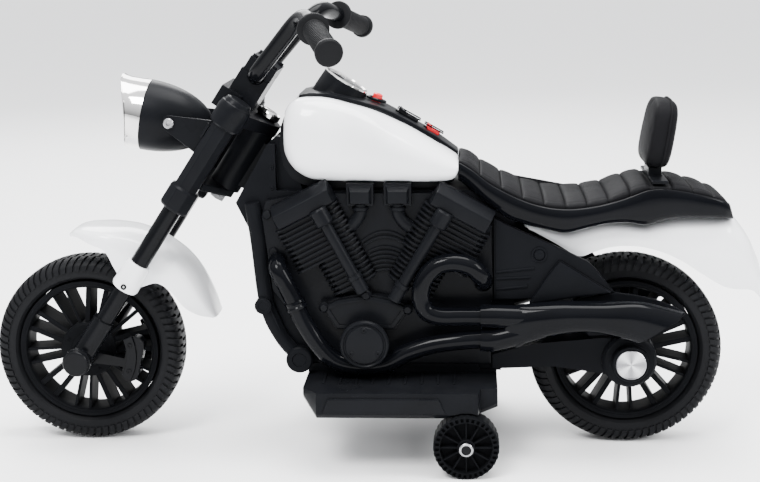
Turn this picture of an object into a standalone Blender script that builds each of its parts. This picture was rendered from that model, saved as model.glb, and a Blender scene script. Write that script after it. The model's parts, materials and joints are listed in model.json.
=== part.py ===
"""Kids ride-on motorcycle with training wheels.

Metres, +Z up, floor at Z = 0. The front wheel points to -X, the rider's left is -Y.
The origin is below the middle of the overall box.
"""
import math
from math import cos, pi, radians, sin, tan

import bmesh
import bpy
from mathutils import Matrix, Vector

# Wheels
WHEEL_RADIUS = 0.112
WHEEL_SEGMENTS = 32
TYRE_WIDTH = 0.050
TREAD_WIDTH = 0.030
RIM_RADIUS = 0.0835
RIM_WIDTH = 0.041
RIM_WALL = 0.0035
HUB_DISC_RADIUS = 0.031
HUB_DISC_WIDTH = 0.033
HUB_RADIUS = 0.014
HUB_WIDTH = 0.052
SPOKE_GROUPS = 5
SPOKE_DEPTH = 0.028
WIDE_SPOKE = 0.0060
THIN_SPOKE = 0.0036
SPOKE_SPLAY = 0.011
FRONT_SPOKE_TURN = radians(80)
REAR_SPOKE_TURN = radians(90)
AXLE_RADIUS = 0.005
FRONT_AXLE_X = -0.341
REAR_AXLE_X = 0.296
TRAINING_WHEEL_RADIUS = 0.0365
TRAINING_WHEEL_WIDTH = 0.027
TRAINING_WHEEL_X = 0.110
TRAINING_WHEEL_INNER_Y = 0.123
TRAINING_AXLE_RADIUS = 0.0042
TRAINING_WHEEL_ROOM = 0.0015
TRAINING_UPRIGHT = 0.005

# Clearance between neighbouring pieces
FIT = 0.0003

# Steering and fork, in the steering frame: s runs up the steering axis from the axle's level
RAKE = radians(33.5)
FORK_OFFSET = 0.032
FORK_SPREAD = 0.058
LEG_RADIUS = 0.0105
LEG_TOP = 0.345
SLEEVE_RADIUS = 0.0138
COLLAR_RADIUS = 0.0175
COLLAR_BOTTOM = 0.213
FORK_END_RADIUS = 0.0130
FORK_END_TOP = 0.056
FORK_BOSS_RADIUS = 0.0150
FORK_END_OUTER_Y = 0.080
STEM_RADIUS = 0.008
HEAD_TUBE_RADIUS = 0.0185
UPPER_YOKE_BOTTOM = 0.3356
YOKE_THICKNESS = 0.0092
HEAD_TUBE_LENGTH = 0.0790
UPPER_YOKE_THICKNESS = 0.0140
YOKE_EYE_RADIUS = 0.0178
UPPER_STEM_EYE_RADIUS = 0.0205
LOWER_STEM_EYE_RADIUS = 0.0150
SOCKET_RADIUS = 0.0185
STEM_NUT_FLATS = 0.016
STEM_NUT_HEIGHT = 0.009
BAR_RADIUS = 0.0094
BAR_CLAMP_S = 0.390
CLAMP_HALF_WIDTH = 0.034
GRIP_RADIUS = 0.0118
GRIP_LENGTH = 0.092
GRIP_WALL_GAP = 0.0003

# Headlight
LAMP_RADIUS = 0.0415
LAMP_SEGMENTS = 16
LAMP_DEPTH = 0.078
LAMP_CUT = 0.072
LAMP_WALL = 0.0025
LAMP_TILT = radians(11.5)
LAMP_PIVOT_FORWARD = 0.0552
LAMP_PIVOT_S = 0.2928
LAMP_SEAM = 0.0357
LAMP_DROP = 0.0030
BEZEL_MEAN = 0.0268
BEZEL_PEAK = 0.0085
BEZEL_SIDE_CUT = 0.0078
EAR_INNER_Y = 0.0490
EAR_THICKNESS = 0.003
LAMP_BOLT_RADIUS = 0.0025
LAMP_BOLT_HEAD = 0.0060

# Body
BODY_HALF_WIDTH = 0.055
BODY_WALL = 0.003
NECK_LAND = 0.0089
BODY_FLOOR_Z = 0.098
TANK_FLOOR_Z = 0.309
TANK_CORE_HALF_WIDTH = 0.0449
TANK_HALF_WIDTH = 0.079
TANK_WALL = 0.0026
CONSOLE_THICKNESS = 0.0045
SHOULDER_DROP = 0.0085
BAY_TOP_Z = 0.3680
BATTERY_HEIGHT = 0.0500
DIAL_RADIUS = 0.0262
DIAL_TILT = radians(31.8)
SWITCH_WELL_HALF_WIDTH = 0.0130
SWITCH_WELL_DEPTH = 0.0120
HORN_X = 0.007
HORN_RADIUS = 0.0058
HORN_HEIGHT = 0.009
HORN_TRAVEL = 0.002
DIRECTION_X = 0.042
DIRECTION_LENGTH = 0.026
DIRECTION_WIDTH = 0.014
POWER_X = 0.0705
POWER_LENGTH = 0.018
POWER_WIDTH = 0.012
ROCKER_TILT = radians(8)
ARM_INNER_Y = 0.029
ARM_OUTER_Y = 0.060
WING_THICKNESS = 0.011
WING_OVERLAP = 0.0025
HUB_COVER_RADIUS = 0.031
HUB_TUBE_RADIUS = 0.0205
HUB_TUBE_OUTER_Y = 0.0795
HUB_CAP_RADIUS = 0.0168
HUB_CAP_THICKNESS = 0.0017
MOTOR_RADIUS = 0.0070
CRADLE_RADIUS = 0.0085
CRADLE_STANDOFF = 0.0045
CRADLE_Y = BODY_HALF_WIDTH + CRADLE_STANDOFF

# Engine and exhaust
ENGINE_PLATE_THICKNESS = 0.007
CYLINDER_DEPTH = 0.017
HEAD_DEPTH = 0.024
ENGINE_PLATE_Y = BODY_HALF_WIDTH + ENGINE_PLATE_THICKNESS
CYLINDER_OUTER_Y = ENGINE_PLATE_Y + CYLINDER_DEPTH
HEAD_OUTER_Y = ENGINE_PLATE_Y + HEAD_DEPTH
FIN_PITCH = 0.0150
FIN_THICKNESS = 0.0082
FIN_DEPTH = 0.0040
PUSHROD_RADIUS = 0.0066
TIMING_CENTRE = (-0.004, 0.141)
TIMING_RADIUS = 0.0275
TIMING_STANDOFF = 0.0353
TIMING_INNER_Y = ENGINE_PLATE_Y + TIMING_STANDOFF
TIMING_THICKNESS = 0.0090
PIPE_RADIUS = 0.0105
MUFFLER_STANDOFF = 0.026
MUFFLER_Y = ENGINE_PLATE_Y + MUFFLER_STANDOFF
MUFFLER_HALF_DEPTH = 0.0175

# Footboards, seat and fenders
FOOTBOARD_TOP_Z = 0.096
FOOTBOARD_BOTTOM_Z = 0.0675
FOOTBOARD_OUTER_Y = 0.143
FOOTBOARD_WALL = 0.004
FOOTBOARD_RIB = 0.0024
PEDAL_LENGTH = 0.058
PEDAL_WIDTH = 0.030
PEDAL_INNER_Y = 0.1085
PEDAL_HINGE_X = 0.030
PEDAL_REST = radians(10)
SEAT_ROLLS = 13
SEAT_CHANNEL = 0.0024
PAD_MARGIN = 0.005
FENDER_WALL = 0.0026
FRONT_FENDER_HALF_WIDTH = 0.0465
REAR_FENDER_HALF_WIDTH = 0.050
BACKREST_HEIGHT = 0.078
BACKREST_THICKNESS = 0.032
BACKREST_HALF_WIDTH = 0.052
BACKREST_LEAN = radians(10)

SIDES = (("left", -1), ("right", 1))


def clear_scene():
    """Remove every object, so the script can run again."""
    for item in list(bpy.data.objects):
        bpy.data.objects.remove(item, do_unlink=True)


def material(name, colour, roughness, metallic=0.0):
    """Return a Principled material."""
    made = bpy.data.materials.new(name)
    made.use_nodes = True
    shader = made.node_tree.nodes["Principled BSDF"]
    shader.inputs["Base Color"].default_value = (*colour, 1.0)
    shader.inputs["Roughness"].default_value = roughness
    shader.inputs["Metallic"].default_value = metallic
    return made


def solid(points, faces):
    """Make a mesh object from points and faces, with its faces pointing out."""
    mesh = bpy.data.meshes.new("solid")
    work = bmesh.new()
    verts = [work.verts.new(point) for point in points]
    for face in faces:
        work.faces.new([verts[index] for index in face])
    bmesh.ops.recalc_face_normals(work, faces=work.faces)
    if work.calc_volume(signed=True) < 0:
        bmesh.ops.reverse_faces(work, faces=work.faces)
    work.to_mesh(mesh)
    work.free()
    item = bpy.data.objects.new("solid", mesh)
    bpy.context.collection.objects.link(item)
    return item


def loft(rings, closed=False):
    """Join equal rings of points into one closed solid."""
    count = len(rings[0])
    points = [point for ring in rings for point in ring]
    faces = []
    last = len(rings) if closed else len(rings) - 1
    for row in range(last):
        low, high = row * count, ((row + 1) % len(rings)) * count
        for index in range(count):
            after = (index + 1) % count
            faces.append((low + index, low + after, high + after, high + index))
    if not closed:
        faces.append(tuple(range(count)))
        faces.append(tuple(range(len(points) - count, len(points))))
    return solid(points, faces)


def circle(radius, segments, phase=0.5):
    """Return points on a circle; phase 0.5 puts a flat at the bottom."""
    turns = [2 * pi * (index + phase) / segments for index in range(segments)]
    return [(radius * cos(turn), radius * sin(turn)) for turn in turns]


def flats(radius, segments):
    """Return the corner radius of a polygon whose flats lie at radius."""
    return radius / cos(pi / segments)


def frame_along(start, end):
    """Return a matrix whose Z axis runs from start to end, placed at start."""
    axis = (Vector(end) - Vector(start)).normalized()
    return Matrix.Translation(Vector(start)) @ axis.to_track_quat("Z", "Y").to_matrix().to_4x4()


def turned(profile, start, end, segments=16, closed=False):
    """Turn a profile of (distance from start, radius) about the line from start to end."""
    frame = frame_along(start, end)
    rings = []
    for distance, radius in profile:
        ring = circle(flats(radius, segments), segments)
        rings.append([frame @ Vector((u, v, distance)) for u, v in ring])
    return loft(rings, closed)


def rod(start, end, radius, segments=12):
    """Make a plain cylinder between two points."""
    length = (Vector(end) - Vector(start)).length
    return turned([(0, radius), (length, radius)], start, end, segments)


def box(low, high):
    """Make a box between two corners."""
    (x0, y0, z0), (x1, y1, z1) = low, high
    base = [(x0, y0), (x1, y0), (x1, y1), (x0, y1)]
    return loft([[(x, y, z0) for x, y in base], [(x, y, z1) for x, y in base]])


def prism(outline, low_y, high_y):
    """Extrude an XZ outline along Y."""
    return loft([[(x, y, z) for x, z in outline] for y in (low_y, high_y)])


def plate(outline, low_z, high_z):
    """Extrude an XY outline along Z."""
    return loft([[(x, y, z) for x, y in outline] for z in (low_z, high_z)])


def combine(target, tools, operation, solver="EXACT"):
    """Apply one Boolean for each tool and remove the tools."""
    for tool in tools:
        step = target.modifiers.new("shape", "BOOLEAN")
        step.operation = operation
        step.solver = solver
        step.object = tool
        bpy.context.view_layer.update()
        graph = bpy.context.evaluated_depsgraph_get()
        mesh = bpy.data.meshes.new_from_object(target.evaluated_get(graph))
        target.modifiers.clear()
        target.data = mesh
        bpy.data.objects.remove(tool, do_unlink=True)
    return target


def fuse(target, *tools):
    """Join solids into one body."""
    return combine(target, tools, "UNION")


def cut(target, *tools):
    """Cut solids out of a body."""
    return combine(target, tools, "DIFFERENCE")


def hull(points):
    """Return the convex outline of flat points."""
    points = sorted(set(points))
    outline = []
    for sweep in (points, points[::-1]):
        chain = []
        for point in sweep:
            while len(chain) > 1 and turn(chain[-2], chain[-1], point) <= 0:
                chain.pop()
            chain.append(point)
        outline += chain[:-1]
    return outline


def turn(a, b, c):
    """Return the signed area of a corner."""
    return (b[0] - a[0]) * (c[1] - a[1]) - (b[1] - a[1]) * (c[0] - a[0])


def around(centre, radius, segments=12):
    """Return points on a circle about a flat centre."""
    return [(centre[0] + u, centre[1] + v) for u, v in circle(radius, segments)]


def inset(outline, distance):
    """Move each edge of a counter-clockwise outline inwards by distance."""
    moved = []
    count = len(outline)
    for index in range(count):
        before = Vector(outline[index - 1])
        here = Vector(outline[index])
        after = Vector(outline[(index + 1) % count])
        first = (here - before).normalized()
        second = (after - here).normalized()
        normal_a = Vector((-first.y, first.x))
        normal_b = Vector((-second.y, second.x))
        middle = normal_a + normal_b
        scale = distance / max(0.4, (1 + normal_a.dot(normal_b)))
        moved.append(tuple(here + middle * scale))
    return moved


def counter_clockwise(outline):
    """Return the outline in counter-clockwise order."""
    area = sum(a[0] * b[1] - b[0] * a[1] for a, b in zip(outline, outline[1:] + outline[:1]))
    return outline if area > 0 else outline[::-1]


def read_curve(curve, x):
    """Read a value off a list of (x, value) pairs."""
    if x <= curve[0][0]:
        return curve[0][1]
    for (x0, v0), (x1, v1) in zip(curve, curve[1:]):
        if x <= x1:
            return v0 + (v1 - v0) * (x - x0) / (x1 - x0)
    return curve[-1][1]


def rounded_path(points, radii, steps=4):
    """Return a path whose inner corners are arcs of the given radii."""
    knots = [Vector(point) for point in points]
    path = [knots[0]]
    for before, here, after, radius in zip(knots, knots[1:], knots[2:], radii):
        back = (before - here).normalized()
        ahead = (after - here).normalized()
        half = back.angle(ahead) / 2
        reach = radius / tan(half)
        centre = here + (back + ahead).normalized() * (radius / sin(half))
        first, last = here + back * reach - centre, here + ahead * reach - centre
        path += [centre + first.slerp(last, step / steps) * radius for step in range(steps + 1)]
    return path + [knots[-1]]


def tube(path, radius, segments=10):
    """Sweep a round section along a path."""
    path = [Vector(point) for point in path]
    rings = []
    side = (path[1] - path[0]).normalized().orthogonal().normalized()
    for index, point in enumerate(path):
        ahead = path[min(index + 1, len(path) - 1)] - path[max(index - 1, 0)]
        ahead.normalize()
        side = (side - ahead * side.dot(ahead)).normalized()
        other = ahead.cross(side)
        ring = circle(radius, segments)
        rings.append([point + side * u + other * v for u, v in ring])
    return loft(rings)


def empty(name, location, parent=None, turn_y=0.0):
    """Add an empty that carries a moving group."""
    item = bpy.data.objects.new(name, None)
    item.empty_display_size = 0.02
    bpy.context.collection.objects.link(item)
    item.location = location
    item.rotation_euler = (0.0, turn_y, 0.0)
    item.parent = parent
    return item


def name_piece(item, name, finish, parent=None):
    """Give a solid its name, material and parent, and shade its round faces smooth."""
    item.name = name
    item.data.name = name
    item.data.materials.clear()
    item.data.materials.append(finish)
    item.parent = parent
    item.data.shade_smooth()
    item.data.set_sharp_from_angle(angle=radians(32))
    return item


def recentre(item, centre):
    """Move a solid's origin to a point of its parent's space."""
    item.data.transform(Matrix.Translation(-Vector(centre)))
    item.location = centre
    return item


def make_finishes():
    """Make the finishes, by the name that the pieces use."""
    return {
        "satin": material("black_plastic", (0.013, 0.014, 0.016), 0.42),
        "gloss": material("gloss_black_plastic", (0.008, 0.009, 0.010), 0.14),
        "white": material("white_gloss_plastic", (0.83, 0.84, 0.87), 0.16),
        "rubber": material("black_rubber", (0.017, 0.017, 0.018), 0.68),
        "tyre": material("tyre_rubber", (0.020, 0.020, 0.022), 0.60),
        "leather": material("black_leatherette", (0.016, 0.016, 0.017), 0.50),
        "red": material("red_gloss_plastic", (0.72, 0.01, 0.02), 0.22),
        "chrome": material("chrome", (0.80, 0.78, 0.76), 0.12, 1.0),
        "brushed": material("brushed_steel", (0.72, 0.72, 0.74), 0.30, 1.0),
        "steel": material("zinc_plated_steel", (0.55, 0.56, 0.58), 0.35, 1.0),
        "painted": material("black_painted_metal", (0.012, 0.012, 0.013), 0.25, 0.4),
        "lens": material("clear_lens", (0.75, 0.77, 0.80), 0.08),
        "battery": material("battery_case", (0.05, 0.05, 0.06), 0.50),
    }


def steering_point(s, back, y=0.0):
    """Return the world point at s up the steering axis and back behind it."""
    return STEERING_ORIGIN + Vector((sin(RAKE) * s + cos(RAKE) * back, y, cos(RAKE) * s - sin(RAKE) * back))


STEERING_ORIGIN = Vector((FRONT_AXLE_X + FORK_OFFSET * cos(RAKE), 0.0,
                          WHEEL_RADIUS - FORK_OFFSET * sin(RAKE)))
HEAD_BOTTOM = UPPER_YOKE_BOTTOM - FIT - HEAD_TUBE_LENGTH
LOWER_YOKE_BOTTOM = HEAD_BOTTOM - FIT - YOKE_THICKNESS
UPPER_YOKE_TOP = UPPER_YOKE_BOTTOM + UPPER_YOKE_THICKNESS


def make_tyre(name, finishes, parent):
    """Turn a tyre with a flat tread and rounded shoulders."""
    half, tread = TYRE_WIDTH / 2, TREAD_WIDTH / 2
    bead = RIM_RADIUS + FIT
    upper = [(bead, -0.44 * TYRE_WIDTH), (WHEEL_RADIUS - 0.016, -half), (WHEEL_RADIUS - 0.0055,
                                                                         -0.94 * half),
             (WHEEL_RADIUS, -tread)]
    lower = [(radius, -along) for radius, along in upper[::-1]]
    profile = [(along, radius) for radius, along in upper + lower]
    item = turned(profile, (0, 0, 0), (0, 1, 0), WHEEL_SEGMENTS, closed=True)
    return name_piece(item, name, finishes["tyre"], parent)


def make_rim(name, spoke_turn, finishes, parent):
    """Join the rim ring, the hub and the paired spokes; a wide pair stands at spoke_turn."""
    half = RIM_WIDTH / 2
    inner = RIM_RADIUS - RIM_WALL
    ring = [(-half, RIM_RADIUS), (half, RIM_RADIUS), (half, inner), (-half, inner)]
    item = turned(ring, (0, 0, 0), (0, 1, 0), WHEEL_SEGMENTS, closed=True)
    disc, hub, bore = HUB_DISC_WIDTH / 2, HUB_WIDTH / 2, AXLE_RADIUS + FIT
    core = [(-hub, bore), (-hub, HUB_RADIUS), (-disc, HUB_RADIUS), (-disc, HUB_DISC_RADIUS),
            (disc, HUB_DISC_RADIUS), (disc, HUB_RADIUS), (hub, HUB_RADIUS), (hub, bore)]
    spokes = []
    for group in range(2 * SPOKE_GROUPS):
        width = THIN_SPOKE if group % 2 else WIDE_SPOKE
        splay = SPOKE_SPLAY * (0.8 if group % 2 else 1.0)
        angle = spoke_turn + pi * group / SPOKE_GROUPS
        for offset in (-1, 1):
            spokes.append(make_spoke(angle, offset, width, splay, inner))
    item = fuse(item, *spokes)
    item = fuse(item, turned(core, (0, 0, 0), (0, 1, 0), 12, closed=True))
    return name_piece(item, name, finishes["satin"], parent)


def make_spoke(angle, offset, width, splay, reach):
    """Make one spoke of a pair, from inside the hub disc into the rim."""
    along = Vector((cos(angle), 0, sin(angle)))
    across = Vector((-sin(angle), 0, cos(angle)))
    start = along * (HUB_DISC_RADIUS - 0.004) + across * (offset * splay * 0.55)
    end = along * (reach + 0.001) + across * (offset * splay)
    depth = Vector((0, SPOKE_DEPTH / 2, 0))
    rings = []
    for point in (start, end):
        edge = across * (width / 2)
        rings.append([point - edge - depth, point + edge - depth, point + edge + depth,
                      point - edge + depth])
    return loft(rings)


def make_fork_leg(name, side, finishes, parent):
    """Make a fork leg with its end block, axle boss and dummy brake caliper."""
    y = side * FORK_SPREAD
    leg = rod((-FORK_OFFSET, y, 0.010), (-FORK_OFFSET, y, LEG_TOP), LEG_RADIUS)
    block = rod((-FORK_OFFSET, y, 0.0), (-FORK_OFFSET, y, FORK_END_TOP), FORK_END_RADIUS)
    inner = HUB_WIDTH / 2 + FIT
    boss = turned([(0, 0.011), (0.018, 0.011), (0.020, FORK_BOSS_RADIUS),
                   (FORK_END_OUTER_Y - inner - 0.002, FORK_BOSS_RADIUS),
                   (FORK_END_OUTER_Y - inner, FORK_BOSS_RADIUS - 0.002)],
                  (-FORK_OFFSET, side * inner, 0), (-FORK_OFFSET, side * FORK_END_OUTER_Y, 0), 12)
    caliper = make_caliper(side)
    item = fuse(leg, block, boss, caliper)
    bore = rod((-FORK_OFFSET, side * (inner - 0.005), 0), (-FORK_OFFSET,
                                                           side * (FORK_END_OUTER_Y - 0.006), 0),
               AXLE_RADIUS + FIT)
    return name_piece(cut(item, bore), name, finishes["painted"], parent)


def make_caliper(side):
    """Make the dummy caliper behind the fork end, with its arm."""
    low, high = side * 0.0285, side * 0.0440
    pad = hull(around((0.028, 0.036), 0.010, 10) + around((0.040, 0.002), 0.010, 10))
    arm = hull(around((-0.032, 0.0), 0.008, 10) + around((0.036, 0.010), 0.005, 10))
    return fuse(prism(pad, low, high), prism(arm, low * 1.05, high * 0.95))


def make_fork_sleeve(name, side, finishes, parent):
    """Turn the sleeve over the leg, with its collar below the lower yoke."""
    bore = LEG_RADIUS + FIT
    top = UPPER_YOKE_TOP - 0.0010
    collar_top = LOWER_YOKE_BOTTOM - FIT
    profile = [(COLLAR_BOTTOM, bore), (COLLAR_BOTTOM, COLLAR_RADIUS - 0.002),
               (COLLAR_BOTTOM + 0.003, COLLAR_RADIUS), (collar_top - 0.008, COLLAR_RADIUS - 0.0002),
               (collar_top, SLEEVE_RADIUS), (top, SLEEVE_RADIUS), (top, bore)]
    item = turned(profile, (-FORK_OFFSET, side * FORK_SPREAD, 0), (-FORK_OFFSET, side * FORK_SPREAD, 1),
                  12, closed=True)
    return name_piece(item, name, finishes["satin"], parent)


def yoke_outline(stem_eye, leg_eye):
    """Return the outline that ties the two legs to the steering stem."""
    eyes = [around((0, 0), stem_eye, 12)]
    eyes += [around((-FORK_OFFSET, side * FORK_SPREAD), leg_eye, 12) for _, side in SIDES]
    return hull([point for eye in eyes for point in eye])


def make_lower_yoke(finishes, parent):
    """Make the lower fork yoke, bored for the stem and hollowed where it meets the sleeves."""
    top = LOWER_YOKE_BOTTOM + YOKE_THICKNESS
    item = plate(yoke_outline(LOWER_STEM_EYE_RADIUS, SLEEVE_RADIUS - 0.001), LOWER_YOKE_BOTTOM, top)
    tools = [rod((0, 0, LOWER_YOKE_BOTTOM - 0.01), (0, 0, top + 0.01), STEM_RADIUS + FIT)]
    for _, side in SIDES:
        y = side * FORK_SPREAD
        tools.append(rod((-FORK_OFFSET, y, LOWER_YOKE_BOTTOM - 0.01), (-FORK_OFFSET, y, top + 0.01),
                         SLEEVE_RADIUS + FIT))
    return name_piece(cut(item, *tools), "lower_fork_yoke", finishes["satin"], parent)


def make_upper_yoke(finishes, parent):
    """Make the upper yoke with its leg sockets and the handlebar riser."""
    item = plate(yoke_outline(UPPER_STEM_EYE_RADIUS, YOKE_EYE_RADIUS), UPPER_YOKE_BOTTOM, UPPER_YOKE_TOP)
    sockets = []
    bores = [rod((0, 0, UPPER_YOKE_BOTTOM - 0.01), (0, 0, UPPER_YOKE_TOP + 0.01), STEM_RADIUS + FIT)]
    for _, side in SIDES:
        y = side * FORK_SPREAD
        start = (-FORK_OFFSET, y, UPPER_YOKE_BOTTOM - 0.010)
        profile = [(0, SOCKET_RADIUS - 0.0025), (0.004, SOCKET_RADIUS), (0.025, SOCKET_RADIUS),
                   (0.034, 0.0140)]
        sockets.append(turned(profile, start, (-FORK_OFFSET, y, 1), 12))
        bores.append(rod((-FORK_OFFSET, y, UPPER_YOKE_BOTTOM - 0.02), (-FORK_OFFSET, y,
                                                                       UPPER_YOKE_TOP - 0.0007),
                         SLEEVE_RADIUS + FIT))
    nose = box((-0.060, -0.040, UPPER_YOKE_BOTTOM + 0.001), (-0.034, 0.040, UPPER_YOKE_TOP + 0.012))
    riser = box((-0.0520, -CLAMP_HALF_WIDTH, UPPER_YOKE_TOP - 0.004),
                (-0.0165, CLAMP_HALF_WIDTH, BAR_CLAMP_S - FIT / 2))
    seat = rod((-0.033, -0.05, BAR_CLAMP_S), (-0.033, 0.05, BAR_CLAMP_S), BAR_RADIUS + FIT)
    item = fuse(item, *sockets, nose, riser)
    return name_piece(cut(item, seat, *bores), "upper_fork_yoke", finishes["satin"], parent)


def make_bar_cap(finishes, parent):
    """Make the clamp cap over the handlebar, with its four bolt heads."""
    low = BAR_CLAMP_S + FIT / 2
    item = box((-0.0500, -CLAMP_HALF_WIDTH, low), (-0.0160, CLAMP_HALF_WIDTH, low + 0.0162))
    for x in (-0.0455, -0.0205):
        for _, side in SIDES:
            y = side * 0.026
            item = fuse(item, rod((x, y, low + 0.010), (x, y, low + 0.0195), 0.0036, 8))
    seat = rod((-0.033, -0.05, BAR_CLAMP_S), (-0.033, 0.05, BAR_CLAMP_S), BAR_RADIUS + FIT)
    return name_piece(cut(item, seat), "handlebar_clamp_cap", finishes["satin"], parent)


def bar_corners(side):
    """Return the handlebar's corner points on one side."""
    return [(-0.033, 0, BAR_CLAMP_S), (-0.033, side * 0.0535, BAR_CLAMP_S),
            (-0.022, side * 0.0880, 0.4835), (0.0318, side * 0.2300, 0.4790)]


def bar_end(side, inboard=0.0):
    """Return a point on the bar's straight end, inboard of its tip."""
    start, tip = (Vector(point) for point in bar_corners(side)[2:])
    return tip + (start - tip).normalized() * inboard


def make_handlebar(finishes, parent):
    """Sweep the swept-back handlebar tube."""
    corners = bar_corners(-1)[::-1] + bar_corners(1)[1:]
    corners[0] = bar_end(-1, 0.004)
    corners[-1] = bar_end(1, 0.004)
    middle = corners[:3] + corners[4:]
    path = rounded_path(middle, (0.022, 0.020, 0.020, 0.022))
    return name_piece(tube(path, BAR_RADIUS, 8), "handlebar", finishes["painted"], parent)


def make_grip(name, side, finishes, parent):
    """Turn the ribbed grip with its flanges and closed end."""
    start, tip = bar_end(side, GRIP_LENGTH), bar_end(side, 0.0)
    bore = BAR_RADIUS + GRIP_WALL_GAP
    outer = [(0, 0.0150), (0.002, 0.0172), (0.005, 0.0172), (0.0075, GRIP_RADIUS),
             (GRIP_LENGTH - 0.008, GRIP_RADIUS), (GRIP_LENGTH - 0.006, 0.0142), (GRIP_LENGTH, 0.0138)]
    item = turned(outer, start, tip, 10)
    hole = rod(start + (start - tip).normalized() * 0.01, bar_end(side, 0.0037), bore)
    return name_piece(cut(item, hole), name, finishes["rubber"], parent)


def make_steering_head(finishes):
    """Make the head tube with the tongue that the body halves clamp."""
    item = rod(steering_point(HEAD_BOTTOM, 0), steering_point(HEAD_BOTTOM + HEAD_TUBE_LENGTH, 0),
               HEAD_TUBE_RADIUS, 20)
    tongue = steering_block(0.008, 0.044, 0.012, HEAD_BOTTOM + 0.010,
                            HEAD_BOTTOM + HEAD_TUBE_LENGTH - 0.010)
    bore = rod(steering_point(HEAD_BOTTOM - 0.01, 0), steering_point(UPPER_YOKE_BOTTOM + 0.01, 0),
               STEM_RADIUS + FIT)
    return name_piece(cut(fuse(item, tongue), bore), "steering_head", finishes["satin"])


def steering_block(back_low, back_high, half_width, s_low, s_high):
    """Make a block in the steering frame, in world coordinates."""
    rings = []
    for y in (-half_width, half_width):
        rings.append([steering_point(s, back, y) for s, back in
                      ((s_low, back_low), (s_low, back_high), (s_high, back_high), (s_high, back_low))])
    return loft(rings)


def make_front_fender(finishes, parent):
    """Sweep the front fender and add its clamps round the fork legs."""
    item = fender((FRONT_AXLE_X, WHEEL_RADIUS), FRONT_FENDER, FRONT_FENDER_HALF_WIDTH)
    into_frame = Matrix.Rotation(-RAKE, 4, "Y") @ Matrix.Translation(-STEERING_ORIGIN)
    item.data.transform(into_frame)
    clamps, bores = [], []
    for _, side in SIDES:
        y = side * FORK_SPREAD
        clamps.append(turned([(0.1030, 0.0150), (0.1360, 0.0132)], (-FORK_OFFSET, y, 0), (-FORK_OFFSET,
                                                                                          y, 1), 10))
        bores.append(rod((-FORK_OFFSET, y, 0.09), (-FORK_OFFSET, y, 0.30), LEG_RADIUS + FIT))
    return name_piece(cut(fuse(item, *clamps), *bores), "front_fender", finishes["white"], parent)


def fender(centre, stations, half_width):
    """Loft a fender round a wheel from (degrees, crest radius, skirt radius, width share)."""
    rings = []
    for degrees, crest, skirt, share in stations:
        aim = (cos(radians(degrees)), sin(radians(degrees)))
        outer = fender_section(centre, aim, crest, skirt, share * half_width)
        inner = fender_section(centre, aim, crest - FENDER_WALL, skirt, share * half_width - FENDER_WALL)
        rings.append(outer + inner[::-1])
    return loft(rings)


def fender_section(centre, aim, crest, skirt, width):
    """Return one arched section between its crest and its two skirts."""
    shape = [(1.0, 1.0), (1.0, 0.55), (0.90, 0.22), (0.54, 0.03), (0.0, 0.0)]
    points = []
    for across, down in shape + [(-across, down) for across, down in shape[-2::-1]]:
        radius = crest + (skirt - crest) * down
        points.append((centre[0] + aim[0] * radius, across * width, centre[1] + aim[1] * radius))
    return points


def make_headlight_bracket(finishes, parent):
    """Make the two ears and the strap that ties them in front of the sleeves."""
    back = -(FORK_OFFSET + SLEEVE_RADIUS + FIT)
    pivot = (-(FORK_OFFSET + LAMP_PIVOT_FORWARD), LAMP_PIVOT_S)
    ear = hull(around(pivot, 0.009) + [(back, 0.2800), (back, 0.3230)])
    strap = box((back - EAR_THICKNESS, -0.0640, 0.3020), (back, 0.0640, 0.3200))
    item = strap
    holes = []
    for _, side in SIDES:
        low, high = side * EAR_INNER_Y, side * (EAR_INNER_Y + EAR_THICKNESS)
        item = fuse(item, prism(ear, low, high))
        holes.append(rod((pivot[0], low - side * 0.01, pivot[1]), (pivot[0], high + side * 0.01, pivot[1]),
                         LAMP_BOLT_RADIUS + FIT, 12))
    return name_piece(cut(item, *holes), "headlight_bracket", finishes["satin"], parent)


def lamp_radius(depth):
    """Return the bowl's outer radius at a depth behind the seam."""
    return LAMP_RADIUS * math.sqrt(max(0.0, 1 - (depth / LAMP_DEPTH) ** 2))


def lamp_line():
    """Return two points on the lamp's axis, seam first, in the lamp's frame."""
    return (-LAMP_SEAM, 0, -LAMP_DROP), (1.0, 0, -LAMP_DROP)


def make_headlight_shell(finishes, parent):
    """Turn the egg-shaped bowl, open at the front, with its pivot bosses."""
    depths = [LAMP_CUT * share for share in (0.0, 0.35, 0.60, 0.78, 0.91, 1.0)]
    outer = [(depth, lamp_radius(depth)) for depth in depths]
    inner = [(min(depth, LAMP_CUT - LAMP_WALL), lamp_radius(depth) - LAMP_WALL) for depth in depths[:-1]]
    start, end = lamp_line()
    item = turned(outer, start, end, LAMP_SEGMENTS)
    hollow = turned([(-0.01, LAMP_RADIUS - LAMP_WALL)] + inner, start, end, LAMP_SEGMENTS)
    reach = EAR_INNER_Y - FIT
    bosses = [rod((0, side * 0.0340, 0), (0, side * reach, 0), 0.0065, 12) for _, side in SIDES]
    item = cut(item, hollow)
    item = fuse(item, *bosses)
    bores = [rod((0, side * 0.0400, 0), (0, side * 0.06, 0), LAMP_BOLT_RADIUS + FIT, 12) for _,
             side in SIDES]
    return name_piece(cut(item, *bores), "headlight_shell", finishes["satin"], parent)


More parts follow.
